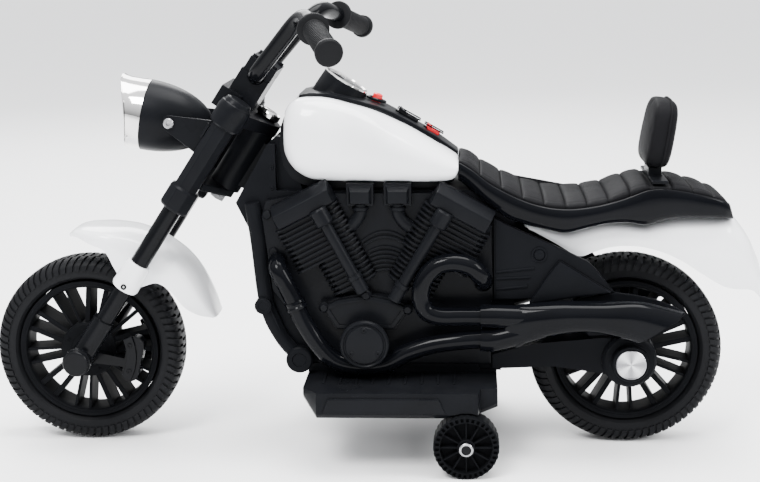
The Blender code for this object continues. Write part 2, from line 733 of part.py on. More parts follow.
def make_headlight_bezel(finishes, parent):
    """Loft the chrome bezel, longer at its top than at its bottom."""
    shares = (0.0, 0.35, 0.70, 0.92, 1.0)
    radii = (LAMP_RADIUS, LAMP_RADIUS - 0.0012, LAMP_RADIUS - 0.0014, LAMP_RADIUS + 0.0003,
             LAMP_RADIUS + 0.0003)
    outer = list(zip(shares, radii))
    inner = [(share, radius - 0.0022) for share, radius in outer[::-1]]
    rings = []
    for share, radius in outer + inner:
        ring = []
        for u, v in circle(flats(radius, LAMP_SEGMENTS), LAMP_SEGMENTS):
            side_cut = BEZEL_SIDE_CUT * (u / radius) ** 2
            ahead = FIT + share * (BEZEL_MEAN + BEZEL_PEAK * v / radius - side_cut)
            ring.append((-LAMP_SEAM - ahead, u, v - LAMP_DROP))
        rings.append(ring)
    return name_piece(loft(rings, closed=True), "headlight_bezel", finishes["chrome"], parent)


def make_headlight_lens(finishes, parent):
    """Turn the clear lens inside the bezel."""
    radius = LAMP_RADIUS - 0.0036 - FIT
    start = (-LAMP_SEAM - 0.0120, 0, -LAMP_DROP)
    profile = [(-0.0040, 0.012), (-0.0030, 0.024), (-0.0008, radius - 0.002), (0.0, radius),
               (0.0022, radius)]
    item = turned(profile, start, (1.0, 0, -LAMP_DROP), LAMP_SEGMENTS)
    return name_piece(item, "headlight_lens", finishes["lens"], parent)


def make_headlight_reflector(finishes, parent):
    """Turn the reflector cup that sits in the bowl's mouth and holds the lamp."""
    start, end = lamp_line()
    radius = LAMP_RADIUS - LAMP_WALL - FIT
    profile = [(0.0, radius), (0.003, radius), (0.028, 0.016), (0.028, 0.010), (0.024, 0.010),
               (0.0, radius - 0.004)]
    cup = turned(profile, start, end, LAMP_SEGMENTS, closed=True)
    bulb = turned([(0.009, 0.003), (0.013, 0.0065), (0.022, 0.0065), (0.024, 0.0104), (0.0275, 0.0104)],
                  start, end, 12)
    return name_piece(fuse(cup, bulb), "headlight_reflector", finishes["chrome"], parent)


def make_lamp_bolt(name, side, finishes, parent):
    """Make a pivot bolt through the ear into the bowl's boss."""
    outside = EAR_INNER_Y + EAR_THICKNESS + FIT
    shank = rod((0, side * 0.0405, 0), (0, side * (outside + 0.001), 0), LAMP_BOLT_RADIUS, 12)
    head = turned([(0, LAMP_BOLT_HEAD), (0.0020, LAMP_BOLT_HEAD), (0.0032, LAMP_BOLT_HEAD - 0.0018)],
                  (0, side * outside, 0), (0, side, 0), 12)
    return name_piece(fuse(shank, head), name, finishes["steel"], parent)


FRONT_FENDER = [(97.2, 0.1415, 0.1375, 0.30), (93.0, 0.1475, 0.1395, 0.62), (84.0, 0.1506, 0.1330, 0.90),
                (76.0, 0.1535, 0.1295, 1.0), (68.0, 0.1580, 0.1130, 1.0), (58.0, 0.1618, 0.1015, 1.0),
                (49.0, 0.1635, 0.1090, 1.0), (44.0, 0.1638, 0.1255, 1.0), (36.0, 0.1635, 0.1315, 0.97),
                (25.0, 0.1622, 0.1335, 0.86), (18.0, 0.1620, 0.1440, 0.68), (14.6, 0.1620, 0.1565, 0.50)]
TANK_TOP = [(-0.0920, 0.4000), (-0.0780, 0.4125), (-0.0650, 0.4150), (-0.0450, 0.4140), (-0.0170, 0.4072),
            (0.0100, 0.3985), (0.0286, 0.3893), (0.0477, 0.3785), (0.0765, 0.3617), (0.1010, 0.3437)]
TANK_FRONT = [(-0.0990, 0.3810), (-0.1010, 0.3587), (-0.0970, 0.3360), (-0.0885, 0.3225), (-0.0753, 0.3140)]
TANK_OUTLINE = [(0.1010, 0.3350)] + TANK_TOP[::-1] + TANK_FRONT + [
    (-0.0450, 0.3100), (0.0370, 0.3096), (0.0815, 0.3103), (0.0965, 0.3175)]
COVER_TOP = [(-0.0890, 0.3985), (-0.0780, 0.4085), (-0.0650, 0.4118), (-0.0450, 0.4105), (-0.0170, 0.4030),
             (0.0100, 0.3935), (0.0286, 0.3838), (0.0477, 0.3728), (0.0765, 0.3560), (0.1010, 0.3395)]
CONSOLE_EDGE = [(-0.0850, 0.0385), (-0.0680, 0.0440), (-0.0200, 0.0440), (0.0050, 0.0350),
                (0.0300, 0.0230), (0.0480, 0.0205),
                (0.0950, 0.0205), (0.1010, 0.0170)]
COVER_FRONT = [(-0.0950, 0.3850), (-0.0968, 0.3680), (-0.0945, 0.3510), (-0.0870, 0.3360),
               (-0.0750, 0.3262)]
COVER_OUTLINE = [(0.1010, 0.3330)] + COVER_TOP[::-1] + COVER_FRONT + [
    (-0.0580, 0.3195), (0.0370, 0.3183), (0.0815, 0.3186), (0.0955, 0.3240)]


def scaled(outline, factor):
    """Scale an outline about its middle."""
    cx = sum(x for x, _ in outline) / len(outline)
    cz = sum(z for _, z in outline) / len(outline)
    return [(cx + (x - cx) * factor, cz + (z - cz) * factor) for x, z in outline]


def make_tank_cover(name, side, finishes):
    """Loft one rounded tank cover, hollow and open towards the middle."""
    inner_y = TANK_CORE_HALF_WIDTH + FIT
    depth = TANK_HALF_WIDTH - inner_y
    outer = [(0.0, 1.0), (0.42, 0.998), (0.72, 0.965), (0.90, 0.90), (1.0, 0.78)]
    wall = TANK_WALL / 0.055
    rings = []
    for share, factor in outer:
        rings.append([(x, side * (inner_y + share * depth), z) for x, z in scaled(COVER_OUTLINE, factor)])
    inner_depth = depth - TANK_WALL
    for share, factor in outer[::-1]:
        y = side * (inner_y + share * inner_depth)
        rings.append([(x, y, z) for x, z in scaled(COVER_OUTLINE, factor - wall)])
    middle = len(outer)
    item = shell_from(rings, middle)
    return name_piece(item, name, finishes["white"])


def shell_from(rings, middle):
    """Close a shell whose outer rings end and inner rings start at the given row."""
    count = len(rings[0])
    points = [point for ring in rings for point in ring]
    faces = []
    for row in range(len(rings)):
        if row == middle - 1:
            continue
        low, high = row * count, ((row + 1) % len(rings)) * count
        for index in range(count):
            after = (index + 1) % count
            faces.append((low + index, low + after, high + after, high + index))
    faces.append(tuple(range((middle - 1) * count, middle * count)))
    faces.append(tuple(range(middle * count, (middle + 1) * count)))
    return solid(points, faces)


def make_tank_core(finishes):
    """Make the black tank core, open below over the battery, with its top falling away at the sides."""
    item = prism(TANK_OUTLINE, -TANK_CORE_HALF_WIDTH, TANK_CORE_HALF_WIDTH)
    base = box((-0.0700, -TANK_CORE_HALF_WIDTH, TANK_FLOOR_Z + FIT), (0.0700, TANK_CORE_HALF_WIDTH, 0.320))
    bay = box((-0.0760, -0.0385, TANK_FLOOR_Z - 0.010), (0.0400, 0.0385, BAY_TOP_Z))
    well = prism([(-0.016, 0.500), (-0.016, deck_z(-0.016) - 0.0185), (0.088, deck_z(0.088) - 0.0185),
                  (0.088, 0.500)], -SWITCH_WELL_HALF_WIDTH - FIT, SWITCH_WELL_HALF_WIDTH + FIT)
    shoulders = [tank_shoulder(side) for _, side in SIDES]
    return name_piece(cut(fuse(item, base), bay, well, *shoulders), "tank_core", finishes["satin"])


def tank_shoulder(side):
    """Return the wedge that takes the core's top corner away beside the console."""
    rings = []
    for x, z in ((-0.120, 0.4000), *TANK_TOP[2:], (0.120, 0.3310)):
        start = side * console_half_width(x)
        low = z - SHOULDER_DROP
        rings.append([(x, start, z + 0.0004), (x, start, z + 0.05), (x, side * 0.06, z + 0.05),
                      (x, side * 0.06, low),
                      (x, side * TANK_CORE_HALF_WIDTH, low)])
    return loft(rings)


def console_half_width(x):
    """Return the console's half width: broad round the dial, narrow along the switches."""
    return read_curve(CONSOLE_EDGE, x)


def deck_z(x):
    """Return the height of the console's upper face."""
    return read_curve(TANK_TOP, x) + CONSOLE_THICKNESS


def deck_slope(x):
    """Return the downward slope of the console's upper face."""
    return math.atan2(deck_z(x - 0.004) - deck_z(x + 0.004), 0.008)


def deck_point(x, along, up):
    """Return the XZ point at a place on the deck, in the deck's own directions."""
    slope = deck_slope(x)
    return (x + along * cos(slope) + up * sin(slope), deck_z(x) - along * sin(slope) + up * cos(slope))


def make_console(finishes):
    """Make the console plate with the dial pod and the switch well."""
    rings = []
    for x, z in TANK_TOP[1:]:
        half = console_half_width(x)
        low, high = z - 0.001, z + CONSOLE_THICKNESS
        rings.append([(x, -half, low), (x, half, low), (x, 0.96 * half, high - 0.001), (x, 0.80 * half,
                                                                                        high),
                      (x, -0.80 * half, high), (x, -0.96 * half, high - 0.001)])
    item = loft(rings)
    top = read_curve(TANK_TOP, -0.012)
    well = prism([(-0.012, top + 0.001), (-0.012, top - SWITCH_WELL_DEPTH), (0.084, deck_z(0.084) - 0.0170),
                  (0.084, deck_z(0.084) - 0.003), (0.042, deck_z(0.042) - 0.002)],
                 -SWITCH_WELL_HALF_WIDTH, SWITCH_WELL_HALF_WIDTH)
    item = cut(fuse(item, make_dial_pod()), prism(grown_top(FIT), -0.07, 0.07))
    item = fuse(item, well)
    centre, normal = dial_place()
    recess = rod(centre - normal * 0.003, centre + normal * 0.01, DIAL_RADIUS + FIT, 20)
    item = cut(item, recess, horn_bore(), rocker_pocket(DIRECTION_X, DIRECTION_LENGTH, DIRECTION_WIDTH),
               rocker_pocket(POWER_X, POWER_LENGTH, POWER_WIDTH))
    return name_piece(item, "console", finishes["satin"])


def grown_top(gap):
    """Return the outline of the space below the console, with a gap."""
    return [(x, z + gap) for x, z in TANK_TOP] + [(TANK_TOP[-1][0], 0.30), (TANK_TOP[0][0], 0.30)]


def dial_place():
    """Return the dial's centre and its normal."""
    return Vector((-0.0272, 0.0, 0.4276)), Vector((sin(DIAL_TILT), 0.0, cos(DIAL_TILT)))


def make_dial_pod():
    """Loft the round pod from its foot on the console to its tilted rim."""
    centre, _ = dial_place()
    foot = Vector((-0.0385, 0.0, 0.4080))
    rings = []
    for share, radius, tilt in ((0.0, 0.0345, 0.1), (0.45, 0.0305, 0.6), (1.0, DIAL_RADIUS + 0.0018, 1.0)):
        middle = foot.lerp(centre, share)
        angle = DIAL_TILT * tilt if share else radians(4)
        rings.append([middle + Vector((u * cos(angle), v, -u * sin(angle))) for u, v in circle(radius, 20)])
    return loft(rings)


def make_dial(finishes):
    """Turn the dial disc."""
    centre, normal = dial_place()
    item = rod(centre - normal * (0.003 - FIT), centre - normal * 0.0006, DIAL_RADIUS, 20)
    return name_piece(item, "speed_dial", finishes["lens"])


def horn_bore():
    """Return the bore that the horn button slides in."""
    low, high = deck_point(HORN_X, 0, -0.0075), deck_point(HORN_X, 0, 0.02)
    return rod((low[0], 0, low[1]), (high[0], 0, high[1]), HORN_RADIUS + FIT, 16)


def make_horn_button(finishes):
    """Turn the horn button, with its travel left free below it."""
    low = deck_point(HORN_X, 0, -0.0075 + HORN_TRAVEL + FIT)
    high = deck_point(HORN_X, 0, HORN_HEIGHT)
    start, end = Vector((low[0], 0, low[1])), Vector((high[0], 0, high[1]))
    length = (end - start).length
    item = turned([(0, HORN_RADIUS), (length - 0.001, HORN_RADIUS), (length, HORN_RADIUS - 0.001)],
                  start, end)
    return name_piece(recentre(item, start), "horn_button", finishes["red"])


def rocker_pocket(x, length, width):
    """Return the pocket that a rocker switch tips in."""
    half = length / 2 + 0.0014
    outline = [deck_point(x, -half, -0.0062), deck_point(x, half, -0.0062), deck_point(x, half, 0.012),
               deck_point(x, -half, 0.012)]
    return prism(outline, -width / 2 - FIT, width / 2 + FIT)


def make_rocker(name, x, length, width, finish):
    """Make a rocker that rests with its front end up."""
    half = length / 2
    shape = [(-half, 0.0052), (0, 0.0026), (half, 0.0052), (half, 0.0010), (0.0030, -0.0025),
             (0.0012, -0.0058), (-0.0012, -0.0058), (-0.0030, -0.0025), (-half, 0.0010)]
    pivot_up = -0.0040
    outline = []
    for along, up in shape:
        lift = up - pivot_up
        turned_along = along * cos(ROCKER_TILT) + lift * sin(ROCKER_TILT)
        turned_up = pivot_up - along * sin(ROCKER_TILT) + lift * cos(ROCKER_TILT)
        outline.append(deck_point(x, turned_along, turned_up))
    pivot = deck_point(x, 0, pivot_up)
    item = prism(outline, -width / 2, width / 2)
    return name_piece(recentre(item, (pivot[0], 0, pivot[1])), name, finish)


def make_battery(finishes):
    """Make the battery with its two terminals."""
    low = TANK_FLOOR_Z + FIT
    item = box((-0.0680, -0.0350, low), (0.0320, 0.0350, low + BATTERY_HEIGHT))
    for y in (-0.020, 0.020):
        item = fuse(item, box((0.018, y - 0.004, low + BATTERY_HEIGHT - 0.005), (0.026, y + 0.004,
                                                                                 low + BATTERY_HEIGHT + 0.0055)))
    return name_piece(item, "battery", finishes["battery"])


def body_outline():
    """Return the side outline of the body halves."""
    neck_top = steering_point(UPPER_YOKE_BOTTOM - 0.002, HEAD_TUBE_RADIUS + 0.0008)
    neck_low = steering_point(HEAD_BOTTOM + 0.001, HEAD_TUBE_RADIUS + 0.0060)
    tank_front = neck_top.x + NECK_LAND
    return counter_clockwise([
        (neck_top.x, neck_top.z), (neck_low.x, neck_low.z), (-0.1312, 0.2520), (-0.1238, 0.1840),
        (-0.1188, 0.1600), (-0.1045, 0.1290), (-0.0925, 0.1060), (-0.0880, BODY_FLOOR_Z),
        (0.1500, BODY_FLOOR_Z),
        (0.1500, 0.1500), (0.1650, 0.1650), (0.1650, 0.2745), (0.1520, 0.2798), (0.1150, TANK_FLOOR_Z),
        (tank_front, TANK_FLOOR_Z), (tank_front, neck_top.z)])


def arm_outline():
    """Return the swingarm's side outline."""
    return [(0.1400, 0.1010), (0.2100, 0.1040), (REAR_AXLE_X - 0.014, 0.0930), (REAR_AXLE_X, 0.0900),
            (REAR_AXLE_X, 0.1340), (REAR_AXLE_X - 0.030, 0.1380), (0.1880, 0.1310), (0.1400, 0.1180)]


def make_body(name, side, finishes):
    """Make a body half: hollow tray, front cradle tube, side wing and swingarm."""
    outline = body_outline()
    hollow = inset(outline, BODY_WALL)
    item = prism(outline, side * FIT / 2, side * BODY_HALF_WIDTH)
    item = cut(item, prism(hollow, -side * 0.01, side * (BODY_HALF_WIDTH - BODY_WALL)))
    wing = [(0.1420, 0.2790), (0.1640, 0.2660), (0.2425, 0.2062), (0.2690, 0.1938), (0.2340, 0.1885),
            (0.1700, 0.1850), (0.1420, 0.1850)]
    arm = prism(arm_outline(), side * ARM_INNER_Y, side * ARM_OUTER_Y)
    pocket = prism(inset(arm_outline(), BODY_WALL), side * (ARM_INNER_Y - 0.01),
                   side * (ARM_OUTER_Y - BODY_WALL))
    axle = (REAR_AXLE_X, WHEEL_RADIUS)
    inner = HUB_WIDTH / 2 + FIT
    hub = turned([(0, HUB_COVER_RADIUS), (0.0330, HUB_COVER_RADIUS), (0.0355, HUB_COVER_RADIUS - 0.003)],
                 (axle[0], side * (ARM_INNER_Y + 0.0012), axle[1]), (axle[0], side, axle[1]), 20)
    tube_part = rod((axle[0], side * 0.060, axle[1]), (axle[0], side * HUB_TUBE_OUTER_Y, axle[1]),
                    HUB_TUBE_RADIUS, 20)
    spacer = rod((axle[0], side * inner, axle[1]), (axle[0], side * 0.033, axle[1]), HUB_RADIUS - 0.002)
    parts = [prism(wing, side * (BODY_HALF_WIDTH - WING_OVERLAP),
                   side * (BODY_HALF_WIDTH + WING_THICKNESS)), cut(arm, pocket), hub, tube_part, spacer]
    item = combine(item, parts + list(make_cradle(side)), "UNION", "MANIFOLD")
    bore = rod((axle[0], 0, axle[1]), (axle[0], side * (HUB_TUBE_OUTER_Y - 0.006), axle[1]),
               AXLE_RADIUS + FIT)
    tongue = steering_block(0.0, 0.0443, 0.0123, HEAD_BOTTOM + 0.0097,
                            HEAD_BOTTOM + HEAD_TUBE_LENGTH - 0.0097)
    return name_piece(cut(item, bore, tongue), name, finishes["satin"])


def make_cradle(side):
    """Return the front cradle tube, its plug and its lower boss."""
    y = side * CRADLE_Y
    path = [(-0.1325, y, 0.2960), (-0.1268, y, 0.2520), (-0.1190, y, 0.1780), (-0.1033, y, 0.1400),
            (-0.0820, y, 0.1135)]
    plug = rod((-0.1220, y, 0.1780), (-0.1220, y + side * 0.012, 0.1780), 0.0095)
    boss = turned([(0, 0.0150), (0.009, 0.0150), (0.0105, 0.0120)], (-0.0820, y - side * 0.0015, 0.1135),
                  (-0.0820, side, 0.1135))
    return tube(path, CRADLE_RADIUS, 8), plug, boss


def make_gearbox(finishes):
    """Make the gearbox housing inside the right swingarm, round the axle."""
    low, high = ARM_INNER_Y + 0.0006, ARM_OUTER_Y - BODY_WALL - 0.0006
    outline = [(0.2120, 0.1075), (0.2600, 0.1010), (0.2600, 0.1325), (0.2120, 0.1300)]
    item = prism(outline, low, high)
    return name_piece(item, "gearbox", finishes["battery"])


def make_motor(finishes):
    """Make the drive motor in front of the gearbox."""
    y = (ARM_INNER_Y + ARM_OUTER_Y - BODY_WALL) / 2
    start = Vector((0.2117, y, 0.1146))
    item = turned([(0, 0.0045), (0.003, 0.0045), (0.003, MOTOR_RADIUS), (0.041, MOTOR_RADIUS),
                   (0.041, 0.0040),
                   (0.043, 0.0040)], start, start - Vector((1, 0, 0.0)), 12)
    return name_piece(item, "drive_motor", finishes["steel"])


CYLINDERS = {
    "front": {"head": (-0.0740, 0.2970), "lean": radians(-27), "upper": (-0.043, 0.037),
              "lower": (-0.018, 0.037),
              "first_fin": 0.0120},
    "rear": {"head": (0.1070, 0.2930), "lean": radians(29), "upper": (-0.040, 0.043), "lower": (-0.036,
                                                                                                0.020),
             "first_fin": 0.0131},
}


def cylinder_point(which, down, across):
    """Return the XZ point at a distance down and across a cylinder's axis."""
    head, lean = CYLINDERS[which]["head"], CYLINDERS[which]["lean"]
    return (head[0] - sin(lean) * down + cos(lean) * across,
            head[1] - cos(lean) * down - sin(lean) * across)


def make_cylinder(which, side):
    """Loft one finned cylinder, wide above and narrow below."""
    place = CYLINDERS[which]
    rings = []
    base = side * (ENGINE_PLATE_Y - 0.0035)
    down = place["first_fin"]
    while down < 0.110:
        span = place["upper"] if down < 0.068 else place["lower"]
        for start, depth in ((down, 0.0), (down + FIN_THICKNESS, 0.0), (down + FIN_THICKNESS, FIN_DEPTH),
                             (down + FIN_PITCH, FIN_DEPTH)):
            low, high = span[0] + depth, span[1] - depth
            outer = side * (CYLINDER_OUTER_Y - depth)
            corners = [(low, base), (low, outer), (high, outer), (high, base)]
            places = [(*cylinder_point(which, start, across), y) for across, y in corners]
            rings.append([(x, y, z) for x, z, y in places])
        down += FIN_PITCH
    return loft(rings)


def make_cylinder_head(which, side):
    """Make the bevelled head cover above a cylinder."""
    base = side * (ENGINE_PLATE_Y - 0.0043)
    outline = [(-0.012, -0.036), (-0.012, 0.034), (-0.006, 0.037), (0.010, 0.037), (0.013, 0.034),
               (0.013, -0.034),
               (0.006, -0.037), (-0.006, -0.038)]
    low = [cylinder_point(which, down, across) for down, across in outline]
    high = [cylinder_point(which, down * 0.72, across * 0.92) for down, across in outline]
    rings = [[(x, base, z) for x, z in low], [(x, side * (HEAD_OUTER_Y - 0.005), z) for x, z in low],
             [(x, side * HEAD_OUTER_Y, z) for x, z in high]]
    return loft(rings)


PUSHRODS = {
    "front": ((-0.0530, 0.2880), (-0.0060, 0.1990)),
    "rear": ((0.0850, 0.2850), (0.0290, 0.1890)),
}


def make_pushrod(which, side):
    """Make a pushrod tube with its cap and lower collars."""
    (x0, z0), (x1, z1) = PUSHRODS[which]
    y = side * (CYLINDER_OUTER_Y + PUSHROD_RADIUS + 0.0003)
    start, end = (x0, y, z0), (x1, y, z1)
    length = (Vector(end) - Vector(start)).length
    profile = [(-0.006, 0.0105), (0.014, 0.0105), (0.0145, PUSHROD_RADIUS), (length - 0.022,
                                                                             PUSHROD_RADIUS),
               (length - 0.0215, 0.0090), (length - 0.017, 0.0090), (length - 0.0165, 0.0078),
               (length, 0.0078)]
    return turned(profile, start, end, 8)


def make_engine_cover(name, side, finishes):
    """Join the engine's back plate, cylinders, cam cover, intakes and bosses."""
    back = side * (BODY_HALF_WIDTH + FIT)
    plate_outline = [(-0.1125, 0.2960), (-0.1180, 0.2750), (-0.1085, 0.1950), (-0.0780, 0.1500),
                     (-0.0640, 0.1300),
                     (-0.0600, 0.1080), (0.1385, 0.1080), (0.1385, 0.1800), (0.1410, 0.1840),
                     (0.1390, 0.2800),
                     (0.1080, 0.3070), (-0.0700, 0.3070)]
    item = prism(plate_outline, back, side * ENGINE_PLATE_Y)
    parts = []
    for which in CYLINDERS:
        parts += [make_cylinder(which, side), make_cylinder_head(which, side), make_pushrod(which, side)]
    cam = [(-0.0530, 0.1790), (-0.0350, 0.1875), (-0.0040, 0.1920), (0.0260, 0.1865), (0.0450, 0.1770),
           (0.0280, 0.1530), (-0.0370, 0.1530)]
    parts.append(prism(cam, side * (ENGINE_PLATE_Y - 0.0026), side * (ENGINE_PLATE_Y + 0.0180)))
    for x, z in ((-0.0510, 0.1785), (-0.0030, 0.1925), (0.0440, 0.1760)):
        parts.append(rod((x, side * (ENGINE_PLATE_Y - 0.0017), z), (x, side * (ENGINE_PLATE_Y + 0.0205),
                                                                    z), 0.0050, 6))
    cx, cz = TIMING_CENTRE
    hub_end = side * (TIMING_INNER_Y - FIT)
    parts.append(rod((cx, side * (ENGINE_PLATE_Y - 0.0020), cz), (cx, hub_end, cz), 0.0160, 12))
    for x0, x1 in ((-0.0230, 0.0065), (0.0185, 0.0490)):
        parts.append(make_intake(x0, x1, side))
    item = combine(item, parts, "UNION", "MANIFOLD")
    room = prism(inset(counter_clockwise(TANK_OUTLINE), -2 * FIT), side * 0.040,
                 side * (TANK_HALF_WIDTH + 2 * FIT))
    return name_piece(cut(item, room), name, finishes["satin"])


def make_intake(x0, x1, side):
    """Make one intake box with bevelled outer edges."""
    z0, z1 = 0.2935, 0.3060
    base = side * (ENGINE_PLATE_Y - 0.0031)
    rings = []
    for y, edge in ((base, 0.0), (side * (ENGINE_PLATE_Y + 0.009), 0.0),
                    (side * (ENGINE_PLATE_Y + 0.014), 0.004)):
        rings.append([(x0 + edge, y, z0 + edge - 0.012), (x1 - edge, y, z0 + edge - 0.012),
                      (x1 - edge, y, z1 - edge),
                      (x0 + edge, y, z1 - edge)])
    return loft(rings)


def make_timing_cover(name, side, finishes):
    """Turn the round cover in front of the header pipe."""
    cx, cz = TIMING_CENTRE
    start = (cx, side * TIMING_INNER_Y, cz)
    profile = [(0, TIMING_RADIUS), (0.0055, TIMING_RADIUS), (0.0070, TIMING_RADIUS - 0.003),
               (0.0062, TIMING_RADIUS - 0.005), (0.0075, TIMING_RADIUS - 0.007), (TIMING_THICKNESS, 0.008)]
    item = turned(profile, start, (cx, side, cz), 16)
    return name_piece(item, name, finishes["satin"])


FRONT_HEADER = [(-0.1060, FIT, 0.2405), (-0.1060, 0.0110, 0.2405), (-0.1032, 0.0205, 0.2320),
                (-0.0940, 0.0220, 0.2110), (-0.0850, 0.0220, 0.1890), (-0.0755, 0.0220, 0.1655),
                (-0.0580, 0.0220, 0.1365),
                (-0.0400, 0.0220, 0.1185), (-0.0200, 0.0220, 0.1118), (0.0000, 0.0220, 0.1112),
                (0.0210, 0.0220, 0.1150), (0.0430, 0.0225, 0.1270), (0.0700, 0.0240, 0.1365),
                (0.1000, 0.0260, 0.1420), (0.1320, 0.0260, 0.1445)]
REAR_HEADER = [(0.1293, FIT, 0.2068), (0.1293, 0.0120, 0.2068), (0.1270, 0.0245, 0.2160),
               (0.1150, 0.0288, 0.2285),
               (0.0965, 0.0288, 0.2330), (0.0780, 0.0288, 0.2290), (0.0645, 0.0288, 0.2150),
               (0.0595, 0.0288, 0.1950), (0.0650, 0.0288, 0.1780), (0.0800, 0.0285, 0.1712),
               (0.1040, 0.0275, 0.1708), (0.1320, 0.0260, 0.1705)]


def header_path(route, side):
    """Return a header pipe's centre line; the route gives its distance out of the engine plate."""
    return [(x, side * (ENGINE_PLATE_Y + out), z) for x, out, z in route]


MUFFLER = [((0.1270, 0.1325), (0.1270, 0.1835)), ((0.1500, 0.1322), (0.1500, 0.1843)),
           ((0.1680, 0.1345), (0.1680, 0.1840)), ((0.1850, 0.1440), (0.1850, 0.1855)),
           ((0.2120, 0.1500), (0.2120, 0.1880)), ((0.2360, 0.1528), (0.2360, 0.1880)),
           ((0.2580, 0.1518), (0.2640, 0.1878)), ((0.2840, 0.1456), (0.3050, 0.1880)),
           ((0.3000, 0.1408), (0.3510, 0.1762))]


def muffler_ring(low, high, side, shrink=0.0):
    """Return an oval ring between a bottom point and a top point."""
    ring = []
    for index in range(10):
        angle = 2 * pi * (index + 0.5) / 10
        share = (1 - cos(angle)) / 2
        share = shrink / 2 + share * (1 - shrink)
        y = side * (MUFFLER_Y + MUFFLER_HALF_DEPTH * (1 - shrink) * sin(angle))
        ring.append((low[0] + (high[0] - low[0]) * share, y, low[1] + (high[1] - low[1]) * share))
    return ring


def make_exhaust(name, side, finishes):
    """Join the two header pipes to the slash-cut muffler."""
    item = loft([muffler_ring(low, high, side) for low, high in MUFFLER])
    mouth = []
    for shift, shrink in ((0.006, 0.14), (-0.012, 0.16), (-0.026, 0.30)):
        low, high = MUFFLER[-1]
        moved = [(x + shift, z + 0.3 * -shift) for x, z in (low, high)]
        mouth.append(muffler_ring(moved[0], moved[1], side, shrink))
    item = cut(item, loft(mouth))
    pipes = [tube(header_path(route, side), PIPE_RADIUS, 8) for route in (FRONT_HEADER, REAR_HEADER)]
    return name_piece(fuse(item, *pipes), name, finishes["gloss"])


def make_footboard(name, side, finishes):
    """Loft a footboard with a cut front corner and a stepped rear, hollow below."""
    inner = BODY_HALF_WIDTH + FIT
    edge = FOOTBOARD_OUTER_Y - 0.003
    tall, short = FOOTBOARD_TOP_Z + 0.0105, FOOTBOARD_TOP_Z + 0.0035
    stations = [(-0.0730, 0.116, tall, 0.0170), (-0.0560, edge, tall, 0.0), (0.1230, edge, tall, 0.0),
                (0.1260, 0.121, short, 0.0), (0.1450, 0.121, short, 0.0080)]
    rings = []
    for x, outer, rib, lift in stations:
        bottom = FOOTBOARD_BOTTOM_Z + lift
        rings.append([(x, side * inner, bottom), (x, side * (outer - 0.001), bottom),
                      (x, side * (outer + 0.003), bottom + 0.005),
                      (x, side * outer, FOOTBOARD_TOP_Z), (x, side * (inner + FOOTBOARD_RIB),
                                                           FOOTBOARD_TOP_Z),
                      (x, side * (inner + FOOTBOARD_RIB), rib), (x, side * inner, rib)])
    item = loft(rings)
    pocket = box((-0.0660, side * (inner + FOOTBOARD_WALL), FOOTBOARD_BOTTOM_Z - 0.01),
                 (0.0880, side * 0.1140, FOOTBOARD_TOP_Z - FOOTBOARD_WALL))
    arch = rod((TRAINING_WHEEL_X, side * (TRAINING_WHEEL_INNER_Y - TRAINING_WHEEL_ROOM),
                TRAINING_WHEEL_RADIUS),
               (TRAINING_WHEEL_X, side * 0.170, TRAINING_WHEEL_RADIUS),
               TRAINING_WHEEL_RADIUS + TRAINING_WHEEL_ROOM,
               24)
    return name_piece(cut(item, pocket, arch), name, finishes["satin"])


def make_pedal(finishes):
    """Make the throttle pedal on the right footboard, hinged at its heel."""
    radius = 0.0045
    hinge = Vector((PEDAL_HINGE_X, 0.0, FOOTBOARD_TOP_Z + FIT + radius))
    low_y, high_y = PEDAL_INNER_Y, PEDAL_INNER_Y + PEDAL_WIDTH
    barrel = rod((hinge.x, low_y, hinge.z), (hinge.x, high_y, hinge.z), radius, 12)
    direction = Vector((-cos(PEDAL_REST), sin(PEDAL_REST)))
    up = Vector((sin(PEDAL_REST), cos(PEDAL_REST)))
    corners = []
    for along, lift in ((0.0, 0.0005), (PEDAL_LENGTH, 0.0005), (PEDAL_LENGTH, 0.0040), (0.0, 0.0040)):
        offset = direction * along + up * lift
        corners.append((hinge.x + offset.x, hinge.z + offset.y))
    item = fuse(barrel, prism(corners, low_y + 0.001, high_y - 0.001))
    return name_piece(recentre(item, hinge), "throttle_pedal", finishes["satin"])


SEAT_LOW = [(0.1030, 0.3185), (0.1520, 0.2805), (0.1755, 0.2728), (0.1990, 0.2692), (0.2220, 0.2668),
            (0.2450, 0.2710), (0.2680, 0.2728), (0.3120, 0.2745), (0.3490, 0.2780), (0.3950, 0.2772),
            (0.4120, 0.2748)]
SEAT_LINE = [(0.1030, 0.3405), (0.1170, 0.3325), (0.1335, 0.3200), (0.1520, 0.3095), (0.1755, 0.2990),
             (0.1990, 0.2923), (0.2220, 0.2900), (0.2450, 0.2917), (0.2680, 0.2958), (0.2910, 0.3020),
             (0.3120, 0.3090), (0.3280, 0.3100), (0.3490, 0.3065), (0.3720, 0.3005), (0.3950, 0.2930),
             (0.4120, 0.2845)]
SEAT_CREST = [(0.1030, 0.3455), (0.1130, 0.3412), (0.1330, 0.3275), (0.1540, 0.3162), (0.1760, 0.3064),
              (0.2000, 0.3000), (0.2245, 0.2980), (0.2487, 0.3002), (0.2704, 0.3046), (0.2920, 0.3132),
              (0.3110, 0.3172), (0.3184, 0.3180), (0.3425, 0.3150), (0.3618, 0.3098), (0.3837, 0.3015),
              (0.4120, 0.2880)]
SEAT_HALF = [(0.1030, 0.060), (0.1300, 0.070), (0.1700, 0.077), (0.2200, 0.080), (0.2600, 0.079),
             (0.3000, 0.072), (0.3500, 0.063), (0.4000, 0.052), (0.4120, 0.044), (0.4185, 0.034)]
REAR_TAIL = [(0.4130, 0.2722), (0.4190, 0.2665), (0.4345, 0.2447), (0.4412, 0.2300), (0.4455, 0.2197),
             (0.4490, 0.2080),
             (0.4520, 0.1960), (0.4530, 0.1800)]
